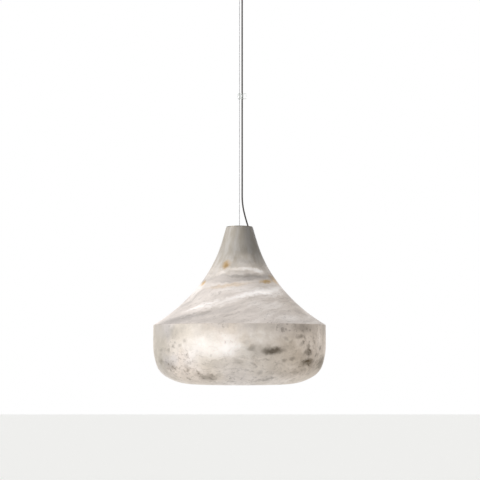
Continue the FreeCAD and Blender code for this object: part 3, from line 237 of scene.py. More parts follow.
def tube_round(points, faces, places, radius, sides):
    """Adds a round tube along these places, with both ends closed."""
    start = len(points)
    for place, (across, up) in zip(places, cross_directions(places)):
        for side in range(sides):
            turn = 2 * math.pi * side / sides
            points.append(place + across * radius * math.cos(turn) + up * radius * math.sin(turn))
    rings = len(places)
    for ring in range(rings - 1):
        for side in range(sides):
            low = start + ring * sides
            nxt = (side + 1) % sides
            faces.append((low + side, low + nxt, low + sides + nxt, low + sides + side))
    faces.append(tuple(start + side for side in reversed(range(sides))))
    faces.append(tuple(start + (rings - 1) * sides + side for side in range(sides)))


COIL_RADIUS = 0.002
COIL_WIRE_RADIUS = 0.0002
COIL_TOP = -0.01541
COIL_HEIGHT = 0.00228
COIL_TURNS = 3
COIL_STEPS = 36 * COIL_TURNS

coil_places = []
for k in range(COIL_STEPS + 1):
    turn = 2 * math.pi * COIL_TURNS * k / COIL_STEPS
    height = COIL_TOP - COIL_HEIGHT * k / COIL_STEPS
    coil_places.append(Vector((COIL_RADIUS * math.cos(turn), COIL_RADIUS * math.sin(turn), height)))
coil_points = []
coil_faces = []
tube_round(coil_points, coil_faces, coil_places, COIL_WIRE_RADIUS, 8)
coil_spring = new_piece("coil_spring", coil_points, coil_faces, bright_steel, 60)
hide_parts("gripper_spring")
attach(coil_spring, "ceiling")
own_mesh(coil_spring)


# ---------------------------------------------------------------- wiring at the ceiling
# The cable's outer sheath ends beside a white terminal block, screwed to the plate. Its two cores
# go into brass inserts under clamp screws, blue and brown as wiring colours.

white_plastic = moulded("white_moulding", tint(232, 230, 224), 0.38, 1800)
plain_brass = worked_metal("plain_brass", tint(212, 176, 104), 0.26, 1500, (1, 1, 5), 0.000006)
cable_sheath = moulded("cable_sheath", tint(66, 61, 57), 0.55, 3000, 0.00002, 0.08, 0.4)

core_sleeve, core_shader = new_finish("core_sleeves", tint(112, 70, 44), 0.4)
core_side = vector_maths(core_sleeve, "DOT_PRODUCT", surface_place(core_sleeve), (0, 1000, 0), output=1)
core_split = fade(core_sleeve, core_side, -0.4, 0.4)
core_colour = blended(core_sleeve, core_split, tint(38, 82, 148), tint(112, 70, 44))
core_skin = clouds(core_sleeve, surface_place(core_sleeve), 2500)
put(core_sleeve, core_colour, core_shader.inputs["Base Color"])
put(core_sleeve, fade(core_sleeve, core_skin, 0.35, 0.65, 0.34, 0.46), core_shader.inputs["Roughness"])
relief(core_sleeve, core_shader, core_skin, 0.00001)

dress(["cable_cores"], core_sleeve)
dress(["terminal_block"], white_plastic)
dress(["terminal_inserts"], plain_brass)
dress(["terminal_screws", "block_screw"], bright_steel)


# ---------------------------------------------------------------- ceiling cup
# A spun cup, powder coated white, slides up over the gripper and hides the wiring. Two small
# screws in its side hold it to the plate's rim.

cup_paint = moulded("satin_powder_coat", tint(226, 224, 219), 0.42, 1400, 0.00005, 0.03)
dress(["canopy_cup"], cup_paint)
dress(["canopy_screws"], bright_steel)


# ---------------------------------------------------------------- exit ring and swivel bush
# A nickel ring in the cup's floor holds a nylon ball with the wire's and cable's holes, so that
# the lamp hangs plumb and can swing and turn.

nylon = moulded("natural_nylon", tint(224, 221, 211), 0.48, 2200)
dress(["exit_ring"], nickel_plate)
dress(["swivel_bush"], nylon)


# ---------------------------------------------------------------- suspension wire
# Steel wire rope, 1.5 mm thick, six strands laid round a seventh. It runs from the gripper in the
# ceiling cup down to the ferrule under the shade's cap, pulled straight by the lamp's weight.

WIRE_THICKNESS = 0.0015
STRAND_LAY = 0.0115
STRANDS = 6
wire_route = [(0, 0, -0.0375), (0, 0, -0.39), (0, 0, -0.742)]
wire_tail_route = [
    (0, 0, -0.0375),
    (0, 0, -0.0127),
    (0, 0, -0.0037),
    (0, 0.009, -0.0037),
    (0, 0.024, -0.0037),
]


def cord_line(name, route):
    """A cord's smooth line past its route's points, with no thickness yet."""
    line = bpy.data.curves.new(name, "CURVE")
    line.dimensions = "3D"
    line.resolution_u = 32
    spline = line.splines.new("NURBS")
    spline.points.add(len(route) - 1)
    for point, place in zip(spline.points, route):
        point.co = (*place, 1)
    spline.order_u = 3
    spline.use_endpoint_u = True
    return line


def points_along(line, step):
    """Places at even steps along a cord's smooth line."""
    holder = bpy.data.objects.new("line_holder", line)
    bpy.context.scene.collection.objects.link(holder)
    bpy.context.view_layer.update()
    drawn = bpy.data.meshes.new_from_object(holder)
    corners = [vertex.co.copy() for vertex in drawn.vertices]
    bpy.data.objects.remove(holder)
    bpy.data.meshes.remove(drawn)
    gone = [0.0]
    for before, after in zip(corners, corners[1:]):
        gone.append(gone[-1] + (after - before).length)
    count = max(2, round(gone[-1] / step))
    places = []
    at = 0
    for k in range(count + 1):
        want = gone[-1] * k / count
        while at < len(gone) - 2 and gone[at + 1] < want:
            at += 1
        share = (want - gone[at]) / max(gone[at + 1] - gone[at], 1e-9)
        places.append(corners[at].lerp(corners[at + 1], min(1, share)))
    return places


def wire_rope(name, places, finish):
    """Six round strands laid in a screw round a straight one."""
    points = []
    faces = []
    strand = WIRE_THICKNESS / 6
    tube_round(points, faces, places, strand, 6)
    pairs = cross_directions(places)
    gone = 0.0
    turns = []
    for k, place in enumerate(places):
        if k:
            gone += (place - places[k - 1]).length
        turns.append(2 * math.pi * gone / STRAND_LAY)
    for number in range(STRANDS):
        lay = []
        for place, (across, up), turn in zip(places, pairs, turns):
            angle = turn + number * 2 * math.pi / STRANDS
            lay.append(place + (across * math.cos(angle) + up * math.sin(angle)) * strand * 2)
        tube_round(points, faces, lay, strand, 6)
    return new_piece(name, points, faces, finish, 70)


wire_steel = worked_metal("drawn_wire_steel", tint(150, 150, 152), 0.42, 2400, (1, 1, 3), 0.000004, 0.06)
wire_places = points_along(cord_line("wire_line", wire_route), 0.0012)
wire = wire_rope("hanging_wire", wire_places, wire_steel)
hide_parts("suspension_wire")
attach(wire, "drop")
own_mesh(wire)

tail_places = points_along(cord_line("wire_tail_line", wire_tail_route), 0.0006)
spare_wire = wire_rope("spare_wire", tail_places, wire_steel)
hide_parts("wire_tail")
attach(spare_wire, "ceiling")

pressed_aluminium = worked_metal("pressed_aluminium", tint(204, 205, 207), 0.36, 1600, (1, 1, 1), 0.00001)
dress(["tail_sleeve", "wire_stop"], pressed_aluminium)


# ---------------------------------------------------------------- power cable
# Two-core flex in a matt, warm grey sheath, 4 mm thick. It hangs beside the wire and bends out to
# its own hole near the cap's rim; above, its end turns to the terminal block.

CABLE_THICKNESS = 0.004
cable_route = [
    (0.007, 0, -0.0375),
    (0.007, 0, -0.6384),
    (0.007, 0, -0.674),
    (0.013604, 0, -0.709017),
    (0.0231365, 0, -0.73925),
]
cable_end_route = [(0.007, 0, -0.0375), (0.007, 0, -0.021), (0.018, 0, -0.021)]


def flex(name, route, step):
    """The cable's round sheath along a route; returns the piece and the places it follows."""
    places = points_along(cord_line(name + "_line", route), step)
    points = []
    faces = []
    tube_round(points, faces, places, CABLE_THICKNESS / 2, 20)
    return new_piece(name, points, faces, cable_sheath, 60), places


cable, cable_places = flex("hanging_cable", cable_route, 0.003)
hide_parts("power_cable")
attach(cable, "drop")
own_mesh(cable)

cable_end = flex("cable_end", cable_end_route, 0.001)[0]
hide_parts("cable_tail")
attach(cable_end, "ceiling")


# ---------------------------------------------------------------- cable clip
# One clear moulded clip, snapped over the wire and the cable 350 mm above the shade. It keeps the
# two side by side and slides along them.

clear_plastic, clip_shader = new_finish("clear_moulding", tint(240, 242, 240), 0.06)
clip_shader.inputs["IOR"].default_value = 1.49
clip_shader.inputs["Transmission Weight"].default_value = 0.9
clip_flow = clouds(clear_plastic, surface_place(clear_plastic, (1, 1, 3)), 220, 3.0)
put(clear_plastic, fade(clear_plastic, clip_flow, 0.3, 0.7, 0.04, 0.14), clip_shader.inputs["Roughness"])
relief(clear_plastic, clip_shader, clip_flow, 0.00004)
dress(["cable_clip"], clear_plastic)


# ---------------------------------------------------------------- cap, nipple and stirrup
# A dark metal disc lies on the neck and hangs by its nipple on the wire. Under it the wire's
# ferrule bears in a zinc plated stirrup, and the cable comes in through a rubber grommet.

cap_bronze = worked_metal("bronze_grey_metal", tint(118, 111, 101), 0.46, 1300, (1, 1, 1), 0.000012, 0.1)
dress(["top_cap"], cap_bronze)
dress(["wire_nipple"], nickel_plate)
dress(["cable_grommet"], black_rubber)
dress(["hickey", "stem_tube"], zinc_plate)

lead_route = [
    (0.0231365, 0, -0.73925),
    (0.02548, 0, -0.74669),
    (0, 0, -0.7766),
    (0, 0, -0.8006),
    (0, 0, -0.943),
]
inner_lead, lead_places = flex("inner_lead", lead_route, 0.0015)
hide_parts("lamp_lead")
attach(inner_lead, "lamp")


# ---------------------------------------------------------------- support plate
# A zinc plated steel disc on the threaded tube bears up under the shoulder inside the stone, with
# a clear silicone ring between them. Two brass nuts lock it.

silicone, silicone_shader = new_finish("clear_silicone", tint(222, 222, 216), 0.4)
silicone_shader.inputs["IOR"].default_value = 1.41
silicone_shader.inputs["Transmission Weight"].default_value = 0.5
silicone_skin = clouds(silicone, surface_place(silicone), 900)
put(silicone, fade(silicone, silicone_skin, 0.3, 0.7, 0.34, 0.5), silicone_shader.inputs["Roughness"])
relief(silicone, silicone_shader, silicone_skin, 0.00003)
dress(["plate_gasket"], silicone)
dress(["support_plate"], zinc_plate)
dress(["plate_nuts"], plain_brass)


# ---------------------------------------------------------------- stone shade
# Two pieces of alabaster turned on a lathe, a funnel and a drum, 9 mm thick and honed smooth. A
# tongue turned on the drum sits in a groove under the funnel, and the two are bonded there.

NECK_RIM = -0.740
STONE_SEGMENTS = 288


def turned_arc(start, end, radius, bow, steps):
    """Points, as radius and depth in mm, on an arc; bow 1 hollows the outline and -1 rounds it."""
    a, b = Vector((start[0], -start[1])), Vector((end[0], -end[1]))
    chord = b - a
    rise = math.sqrt(radius**2 - chord.length_squared / 4)
    middle = (a + b) / 2 + Vector((-chord.y, chord.x)).normalized() * bow * rise
    first = math.atan2(a.y - middle.y, a.x - middle.x)
    sweep = math.atan2(b.y - middle.y, b.x - middle.x) - first
    sweep = (sweep + math.pi) % (2 * math.pi) - math.pi
    places = []
    for k in range(1, steps + 1):
        turn = first + sweep * k / steps
        places.append((middle.x + radius * math.cos(turn), -(middle.y + radius * math.sin(turn))))
    return places


def turned(name, outline, finish):
    """A closed outline of radius and depth, in mm, spun round the lamp's axis."""
    points = []
    faces = []
    for radius, depth in outline:
        for k in range(STONE_SEGMENTS):
            turn = 2 * math.pi * k / STONE_SEGMENTS
            x = radius / 1000 * math.cos(turn)
            y = radius / 1000 * math.sin(turn)
            points.append((x, y, NECK_RIM - depth / 1000))
    for ring in range(len(outline)):
        here = ring * STONE_SEGMENTS
        below = (ring + 1) % len(outline) * STONE_SEGMENTS
        for k in range(STONE_SEGMENTS):
            side = (k + 1) % STONE_SEGMENTS
            faces.append((here + k, below + k, below + side, here + side))
    return new_piece(name, points, faces, finish, 28)


bell_side = [(35.3, 0.5)]
bell_side += turned_arc((35.3, 0.5), (48.0, 43.4), 1238, 1, 10)
bell_side += turned_arc((48.0, 43.4), (98.5, 142.8), 334, 1, 26)
bell_side += turned_arc((98.5, 142.8), (223.7, 255.5), 424, 1, 36)
bell_outline = [(28.5, 0.3), (28.8, 0), (34.8, 0), *bell_side, (223.3, 255.8)]
bell_outline += [(214.2, 255.8), (214.2, 252.6), (209.3, 252.6), (209.3, 255.8), (206.3, 255.8)]
bell_outline += turned_arc((206.3, 255.8), (91.27, 148.2), 433, -1, 30)
bell_outline += turned_arc((91.27, 148.2), (54.0, 85.0), 343, -1, 16)
bell_outline += [(28.5, 85.0)]

drum_side = [(224.0, 256.3), (224.0, 304.8)]
drum_side += turned_arc((224.0, 304.8), (215.4, 357.6), 168, -1, 12)
drum_side += turned_arc((215.4, 357.6), (193.0, 386.7), 55.4, -1, 12)
drum_side += turned_arc((193.0, 386.7), (122.8, 407.4), 129, -1, 16)
drum_outline = [(223.6, 255.9), *drum_side]
drum_outline += turned_arc((122.8, 407.4), (118.3, 402.9), 4.5, -1, 6)
drum_outline += turned_arc((118.3, 402.9), (122.8, 398.4), 4.5, -1, 6)
drum_outline += turned_arc((122.8, 398.4), (188.1, 379.1), 120, 1, 16)
drum_outline += turned_arc((188.1, 379.1), (206.9, 354.8), 46.4, 1, 12)
drum_outline += turned_arc((206.9, 354.8), (215.0, 304.8), 159, 1, 12)
drum_outline += [(215.0, 260.9), (206.3, 255.9), (209.5, 255.9), (209.5, 252.8)]
drum_outline += [(214.0, 252.8), (214.0, 255.9)]


def stone_radius(depth):
    """The shade's outer radius, in mm, at a depth below the neck's rim."""
    side = bell_side + drum_side
    for (near, above), (far, below) in zip(side, side[1:]):
        if above <= depth <= below and below > above:
            return near + (far - near) * (depth - above) / (below - above)
    return side[-1][0] if depth > 300 else side[0][0]


def patch(finish, place, azimuth, depth, sideways, upright, tilt=0):
    """A patch in the stone: 1 in its middle, 0 past its edge. Sizes in mm, turned from the front."""
    turn = math.radians(azimuth)
    radius = stone_radius(depth)
    node = finish.node_tree.nodes.new("ShaderNodeMapping")
    node.vector_type = "TEXTURE"
    put(finish, place, node.inputs["Vector"])
    centre = Vector((radius * math.sin(turn), -radius * math.cos(turn), -depth)) / 1000
    node.inputs["Location"].default_value = centre + Vector((0, 0, NECK_RIM))
    node.inputs["Rotation"].default_value = (0, -math.radians(tilt), turn)
    into = 12 + sideways * 0.6
    node.inputs["Scale"].default_value = (sideways / 1000, into / 1000, upright / 1000)
    reach = vector_maths(finish, "LENGTH", node.outputs[0], output=1)
    return fade(finish, reach, 0.3, 1.5, 1.0, 0.0)


def patches_of(finish, place, marks):
    """All the patches of one kind added up. Each row ends with its tilt and its strength."""
    total = 0.0
    for azimuth, depth, sideways, upright, tilt, strength in marks:
        share = patch(finish, place, azimuth, depth, sideways, upright, tilt)
        total = maths(finish, "MULTIPLY_ADD", share, strength, total)
    return total


def levels(finish, value, stops):
    """A level read off a row of (place, level) steps, joined smoothly."""
    node = finish.node_tree.nodes.new("ShaderNodeFloatCurve")
    curve = node.mapping.curves[0]
    for at, level in stops[1:-1]:
        curve.points.new(at, level)
    curve.points[0].location = stops[0]
    curve.points[-1].location = stops[-1]
    node.mapping.update()
    put(finish, value, node.inputs["Value"])
    return node.outputs[0]


def stone_places(finish):
    """Places for even patterns, for ragged patches and for wavy layers, and the depth below the rim."""
    place = surface_place(finish)
    coarse = clouds(finish, place, 16, 3.0, 0.55, output="Color")
    fine = clouds(finish, place, 75, 3.0, 0.6, output="Color")
    even = (0.5, 0.5, 0.5)
    push = vector_maths(finish, "MULTIPLY", vector_maths(finish, "SUBTRACT", coarse, even), (0.03,) * 3)
    shake = vector_maths(finish, "MULTIPLY", vector_maths(finish, "SUBTRACT", fine, even), (0.013,) * 3)
    ragged = vector_maths(finish, "ADD", place, shake)
    wavy = vector_maths(finish, "ADD", ragged, push)
    parts = finish.node_tree.nodes.new("ShaderNodeSeparateXYZ")
    put(finish, wavy, parts.inputs[0])
    depth = maths(finish, "SUBTRACT", NECK_RIM, parts.outputs["Z"])
    return place, ragged, wavy, parts.outputs["X"], depth


def finish_stone(finish, shader, painted_glow, dark, rust, tone, pits):
    """Joins the lamp's light, painted into the stone as its glow, with its dark and rusty patches, its own
    colour and its skin.
    """
    # Painted light: the bulb's light through the stone is given as emission; dark patches hold it back and
    # rusty ones warm it.
    held = maths(finish, "MULTIPLY", dark, 0.86, clamp=True)
    through = maths(finish, "MULTIPLY", painted_glow, maths(finish, "SUBTRACT", 1.0, held))
    warm = blended(finish, fade(finish, painted_glow, 0.26, 0.54), (1.0, 0.89, 0.79, 1), (1.0, 0.96, 0.93, 1))
    warm = blended(finish, maths(finish, "MULTIPLY", rust, 0.8, clamp=True), warm, (0.8, 0.52, 0.2, 1))
    light = vector_maths(finish, "SCALE", warm)
    put(finish, maths(finish, "MAXIMUM", through, 0.0), light.node.inputs["Scale"])
    put(finish, light, shader.inputs["Emission Color"])
    shader.inputs["Emission Strength"].default_value = 1.0
    body = blended(finish, maths(finish, "MULTIPLY", dark, 0.72, clamp=True), tone, tint(92, 82, 66))
    body = blended(finish, maths(finish, "MULTIPLY", rust, 0.75, clamp=True), body, tint(172, 134, 70))
    put(finish, body, shader.inputs["Base Color"])
    put(finish, fade(finish, pits, 0.3, 0.7, 0.46, 0.6), shader.inputs["Roughness"])
    relief(finish, shader, pits, 0.00006)


# The funnel's stone: level and slanting layers, dull at the neck, with the lamp's light through it painted
# in as a glow below the neck.
bell_stone, bell_shader = new_finish("alabaster_layers", tint(188, 182, 176), 0.5)
bell_shader.inputs["Specular IOR Level"].default_value = 0.4
place, ragged, wavy, across, depth = stone_places(bell_stone)
slant = fade(bell_stone, depth, 0.145, 0.2, 0.04, 0.33)
layer = maths(bell_stone, "MULTIPLY_ADD", across, slant, depth)
# Painted light: the glow through the funnel, in bands that follow its layers, with none at the neck.
bell_painted_glow = levels(
    bell_stone,
    maths(bell_stone, "MULTIPLY", layer, 2.5),
    [
        (0.0, 0.0),
        (0.16, 0.0),
        (0.21, 0.06),
        (0.25, 0.13),
        (0.3, 0.22),
        (0.335, 0.13),
        (0.37, 0.27),
        (0.42, 0.36),
        (0.46, 0.42),
        (0.485, 0.33),
        (0.52, 0.24),
        (0.58, 0.28),
        (0.66, 0.31),
        (1.0, 0.3),
    ],
)
grain_place = vector_maths(bell_stone, "MULTIPLY", wavy, (1, 1, 0))
layer_up = bell_stone.node_tree.nodes.new("ShaderNodeCombineXYZ")
put(bell_stone, maths(bell_stone, "MULTIPLY", layer, 9.0), layer_up.inputs["Z"])
grain_place = vector_maths(bell_stone, "ADD", grain_place, layer_up.outputs[0])
streaks = clouds(bell_stone, grain_place, 13, 5.0, 0.62)
streak_light = maths(bell_stone, "MULTIPLY", maths(bell_stone, "SUBTRACT", streaks, 0.5), 0.55)
streak_share = fade(bell_stone, depth, 0.07, 0.13)
bell_painted_glow = maths(bell_stone, "MULTIPLY_ADD", streak_light, streak_share, bell_painted_glow)
# Brighter and dimmer patches in the painted glow.
bell_lights = patches_of(
    bell_stone,
    ragged,
    [
        (4, 115, 34, 4.5, 0, 0.2),
        (26, 118, 26, 7, -8, 0.14),
        (-34, 124, 16, 4.5, 18, 0.14),
        (14, 180, 46, 7, 9, 0.14),
        (40, 178, 50, 15, 2, 0.2),
        (-16, 184, 40, 7, 8, -0.1),
        (16, 86, 18, 14, 0, 0.07),
        (38, 120, 16, 10, -14, 0.14),
        (8, 150, 34, 5, 4, 0.1),
        (24, 208, 70, 16, 4, 0.12),
        (30, 240, 60, 10, 0, 0.05),
        (-70, 166, 30, 16, 0, 0.22),
        (-54, 244, 84, 20, 6, -0.24),
        (-60, 212, 46, 16, 10, -0.16),
        (-38, 212, 48, 3.4, 17, 0.16),
        (120, 150, 44, 12, 8, 0.16),
        (165, 196, 70, 12, -10, 0.2),
        (210, 168, 40, 16, 12, 0.2),
        (250, 222, 60, 9, 16, 0.14),
    ],
)
bell_painted_glow = maths(bell_stone, "ADD", bell_painted_glow, bell_lights)
bell_darks = patches_of(
    bell_stone,
    ragged,
    [
        (7, 134, 38, 4, 3, 0.42),
        (2, 90, 26, 7, -14, 0.16),
        (-27, 106, 4.5, 5, 0, 0.8),
        (43, 147, 13, 3, 4, 0.25),
        (-28, 229, 17, 5, 14, 0.42),
        (-22, 220, 20, 4, 14, 0.26),
        (-9, 236, 22, 4, 12, 0.16),
        (-46, 244, 60, 8, 10, 0.18),
        (-14, 250, 60, 7, 0, 0.16),
        (36, 252, 60, 8, 0, 0.12),
        (58, 226, 26, 5, -12, 0.16),
        (-29, 180, 9, 5, 0, 0.14),
        (110, 210, 30, 7, 14, 0.3),
        (140, 122, 26, 6, 6, 0.34),
        (178, 240, 60, 8, 8, 0.26),
        (205, 205, 20, 6, 10, 0.34),
        (238, 152, 30, 6, -8, 0.3),
        (268, 232, 34, 8, 12, 0.28),
    ],
)
flaws = fade(bell_stone, clouds(bell_stone, grain_place, 52, 5.0, 0.72, 0.3), 0.5, 0.68)
flaws = maths(bell_stone, "MULTIPLY", flaws, fade(bell_stone, depth, 0.08, 0.2, 0.06, 0.5))
bell_darks = maths(bell_stone, "ADD", bell_darks, flaws)
bell_rusts = patches_of(
    bell_stone,
    ragged,
    [
        (-28, 103, 10, 12, 0, 0.95),
        (43, 146, 22, 5, 4, 1.0),
        (68, 139, 20, 14, -8, 0.75),
        (-65, 149, 10, 8, 0, 1.0),
        (-14, 158, 56, 5, 6, 0.36),
        (62, 200, 80, 60, 0, 0.1),
        (152, 160, 22, 5, 8, 0.6),
        (222, 128, 9, 9, 0, 0.6),
    ],
)
neck_bands = clouds(bell_stone, surface_place(bell_stone, (1, 1, 0.06)), 62, 3.0, 0.5)
neck_tone = fade(bell_stone, neck_bands, 0.3, 0.7)
bell_tone = blended(bell_stone, neck_tone, tint(173, 165, 153), tint(197, 192, 186))
pale_below = fade(bell_stone, depth, 0.09, 0.16)
bell_tone = blended(bell_stone, pale_below, bell_tone, tint(191, 184, 180))
bell_pits = clouds(bell_stone, place, 700, 4.0, 0.6)
finish_stone(bell_stone, bell_shader, bell_painted_glow, bell_darks, bell_rusts, bell_tone, bell_pits)

bell = turned("stone_funnel", bell_outline, bell_stone)
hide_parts("upper_bell")
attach(bell, "lamp")

# The drum's stone: cloudy, with scattered dark islands, and the lamp's light through it painted in as a
# glow, brightest in a clear milky field on one side.
drum_stone, drum_shader = new_finish("alabaster_clouds", tint(190, 184, 179), 0.5)
drum_shader.inputs["Specular IOR Level"].default_value = 0.4
place, ragged, wavy, _, depth = stone_places(drum_stone)
# Painted light: the glow through the drum, by depth below the rim and through cloudy stone.
drum_painted_glow = levels(
    drum_stone,
    maths(drum_stone, "MULTIPLY", depth, 2.4),
    [
        (0.0, 0.24),
        (0.61, 0.24),
        (0.68, 0.3),
        (0.74, 0.34),
        (0.8, 0.32),
        (0.86, 0.28),
        (0.93, 0.31),
        (1.0, 0.34),
    ],
)
drum_clouds = clouds(drum_stone, wavy, 34, 6.0, 0.68)
cloud_light = maths(drum_stone, "MULTIPLY", maths(drum_stone, "SUBTRACT", drum_clouds, 0.5), 0.5)
drum_painted_glow = maths(drum_stone, "ADD", drum_painted_glow, cloud_light)
# Brighter and dimmer patches in the painted glow.
drum_lights = patches_of(
    drum_stone,
    ragged,
    [
        (-16, 306, 64, 30, 0, 0.2),
        (-6, 312, 44, 26, 0, 0.06),
        (-30, 338, 40, 16, 0, 0.04),
        (-66, 312, 66, 90, 0, -0.32),
        (-46, 274, 44, 18, 0, -0.16),
        (-4, 276, 44, 16, 0, 0.1),
        (14, 286, 50, 18, 0, 0.08),
        (20, 362, 70, 18, 0, 0.06),
        (62, 286, 30, 24, 0, 0.05),
        (118, 306, 80, 36, 0, 0.2),
        (192, 330, 90, 30, 6, 0.2),
        (244, 286, 60, 26, 0, 0.16),
    ],
)
drum_painted_glow = maths(drum_stone, "ADD", drum_painted_glow, drum_lights)
drum_darks = patches_of(
    drum_stone,
    ragged,
    [
        (21.3, 322, 25, 8.5, 4, 0.85),
        (14, 321, 50, 15, 2, 0.26),
        (43.8, 265, 34, 11, 0, 0.42),
        (41.9, 288, 16, 5, 6, 0.5),
        (30.6, 293, 9, 4, -20, 0.42),
        (34, 300, 7, 4, 30, 0.3),
        (43.7, 304, 9, 5, 0, 0.4),
        (50.3, 325, 14, 9, 0, 0.72),
        (64.9, 316, 9, 8, 0, 0.55),
        (60, 330, 6, 5, 0, 0.4),
        (51.7, 350, 24, 9, 4, 0.7),
        (73.7, 351, 32, 18, 0, 0.65),
        (56, 351, 66, 26, 0, 0.2),
        (29.6, 345, 7, 4, 0, 0.55),
        (36, 342, 9, 4, 8, 0.55),
        (7.4, 315, 11, 6, 20, 0.4),
        (4, 300, 10, 6, 0, 0.16),
        (-37.2, 297, 5, 4, 0, 0.34),
        (-41, 309, 6, 4, 20, 0.34),
        (-45, 303, 4, 4, 0, 0.3),
        (-47, 309, 5, 4, 0, 0.34),
        (-51.9, 319, 7, 4, 25, 0.42),
        (-61.8, 321, 8, 5, 0, 0.4),
        (-50, 300, 44, 22, 0, 0.12),
        (-64.9, 349, 15, 6, 0, 0.42),
        (-53.7, 360, 26, 9, -12, 0.45),
        (-56, 350, 46, 16, 0, 0.14),
        (-23.6, 388, 25, 9, 10, 0.55),
        (-30, 380, 14, 5, 0, 0.3),
        (-15.5, 354, 26, 10, 0, 0.18),
        (-1.3, 345, 12, 6, 0, 0.3),
        (2, 352, 30, 8, 0, 0.16),
        (13.9, 375, 7, 6, 0, 0.42),
        (20.6, 391, 20, 4, 10, 0.36),
        (41, 375, 18, 4, 6, 0.34),
        (96, 338, 26, 9, 0, 0.6),
        (104, 292, 12, 6, 14, 0.45),
        (131, 366, 30, 8, -8, 0.5),
        (139, 318, 9, 7, 0, 0.5),
        (152, 284, 30, 8, 6, 0.4),
        (166, 343, 15, 10, 0, 0.62),
        (181, 308, 8, 5, 0, 0.45),
        (203, 372, 26, 7, 8, 0.45),
        (214, 296, 20, 6, -10, 0.42),
        (229, 341, 28, 9, 0, 0.6),
        (251, 318, 10, 7, 0, 0.5),
        (262, 362, 24, 8, 0, 0.42),
        (276, 294, 16, 6, 10, 0.36),
    ],
)
speckle = clouds(drum_stone, ragged, 130, 2.0, 0.5)
speckle_share = fade(drum_stone, clouds(drum_stone, place, 9, 1.0), 0.46, 0.62)
speckle_share = maths(drum_stone, "MAXIMUM", speckle_share, patch(drum_stone, place, -48, 306, 34, 24))
specks = maths(drum_stone, "MULTIPLY", fade(drum_stone, speckle, 0.56, 0.7), speckle_share)
drum_darks = maths(drum_stone, "MULTIPLY_ADD", specks, 0.5, drum_darks)
blotches = fade(drum_stone, clouds(drum_stone, wavy, 62, 3.0, 0.55), 0.52, 0.64)
blotch_share = patch(drum_stone, place, 52, 326, 62, 56)
blotch_share = maths(drum_stone, "MAXIMUM", blotch_share, patch(drum_stone, place, -40, 376, 60, 20))
blotch_share = maths(drum_stone, "MAXIMUM", blotch_share, patch(drum_stone, place, 160, 340, 90, 40))
blotches = maths(drum_stone, "MULTIPLY", blotches, blotch_share)
drum_darks = maths(drum_stone, "MULTIPLY_ADD", blotches, 0.42, drum_darks)
vein_place = vector_maths(drum_stone, "MULTIPLY", wavy, (1, 1, 2.4))
veins = fade(drum_stone, clouds(drum_stone, vein_place, 48, 6.0, 0.74, 0.4), 0.48, 0.68)
veins = maths(drum_stone, "MULTIPLY", veins, fade(drum_stone, depth, 0.3, 0.36, 0.12, 0.46))
drum_darks = maths(drum_stone, "ADD", drum_darks, veins)
rust_clouds = fade(drum_stone, clouds(drum_stone, ragged, 11, 3.0), 0.56, 0.76)
drum_rusts = patches_of(drum_stone, ragged, [(54, 320, 130, 110, 0, 0.26), (-40, 384, 90, 30, 0, 0.2)])
drum_rusts = maths(drum_stone, "MULTIPLY_ADD", rust_clouds, 0.16, drum_rusts)
cast = fade(drum_stone, clouds(drum_stone, ragged, 9, 2.0), 0.35, 0.65)
drum_tone = blended(drum_stone, cast, tint(184, 176, 165), tint(196, 190, 187))
drum_pits = clouds(drum_stone, place, 700, 4.0, 0.6)
finish_stone(drum_stone, drum_shader, drum_painted_glow, drum_darks, drum_rusts, drum_tone, drum_pits)

drum = turned("stone_drum", drum_outline, drum_stone)
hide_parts("lower_drum")
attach(drum, "lamp")


# ---------------------------------------------------------------- lampholder
# A moulded holder on the end of the tube, with a porcelain core, a threaded brass shell and a
# spring brass contact in its middle.

HOLDER_THREAD_TURN = 0.00363
THREAD_SEGMENTS = 96


def threaded(name, rings, finish):
    """A thin shell with a rolled round thread. Rings are radius, height and thread depth, in metres."""
    points = []
    faces = []
    for radius, height, groove in rings:
        for k in range(THREAD_SEGMENTS):
            turn = 2 * math.pi * k / THREAD_SEGMENTS
            reach = radius + groove * math.cos(2 * math.pi * height / HOLDER_THREAD_TURN - turn)
            points.append((reach * math.cos(turn), reach * math.sin(turn), height))
    for ring in range(len(rings)):
        here = ring * THREAD_SEGMENTS
        below = (ring + 1) % len(rings) * THREAD_SEGMENTS
        for k in range(THREAD_SEGMENTS):
            side = (k + 1) % THREAD_SEGMENTS
            faces.append((here + k, here + side, below + side, below + k))
    return new_piece(name, points, faces, finish, 50)


def thread_rings(radius, groove, low, high, rings):
    """The rings of one threaded face, with the thread running out at both ends."""
    made = []
    for k in range(rings + 1):
        share = k / rings
        fading = min(1.0, 8 * share, 8 * (1 - share))
        made.append((radius, low + (high - low) * share, groove * fading))
    return made


holder_plastic = moulded("holder_moulding", tint(214, 212, 205), 0.46, 1700)
porcelain = moulded("glazed_porcelain", tint(236, 233, 226), 0.16, 500, 0.00003, 0.03, 0.6)
shell_outside = thread_rings(0.01385, 0.0003, -0.99, -0.966, 64)
shell_inside = thread_rings(0.01355, 0.0003, -0.99, -0.966, 64)
shell = threaded("threaded_shell", shell_outside + shell_inside[::-1], plain_brass)
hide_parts("screw_shell")
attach(shell, "lamp")
dress(["lampholder_cap", "lampholder_skirt"], holder_plastic)
dress(["lampholder_core"], porcelain)
dress(["centre_contact"], plain_brass)


# ---------------------------------------------------------------- bulb
# An opal glass globe with a rolled metal screw cap. Inside stands a ceramic post with its light
# emitters, and the cap's end has a black glass insulator and a dot of solder.

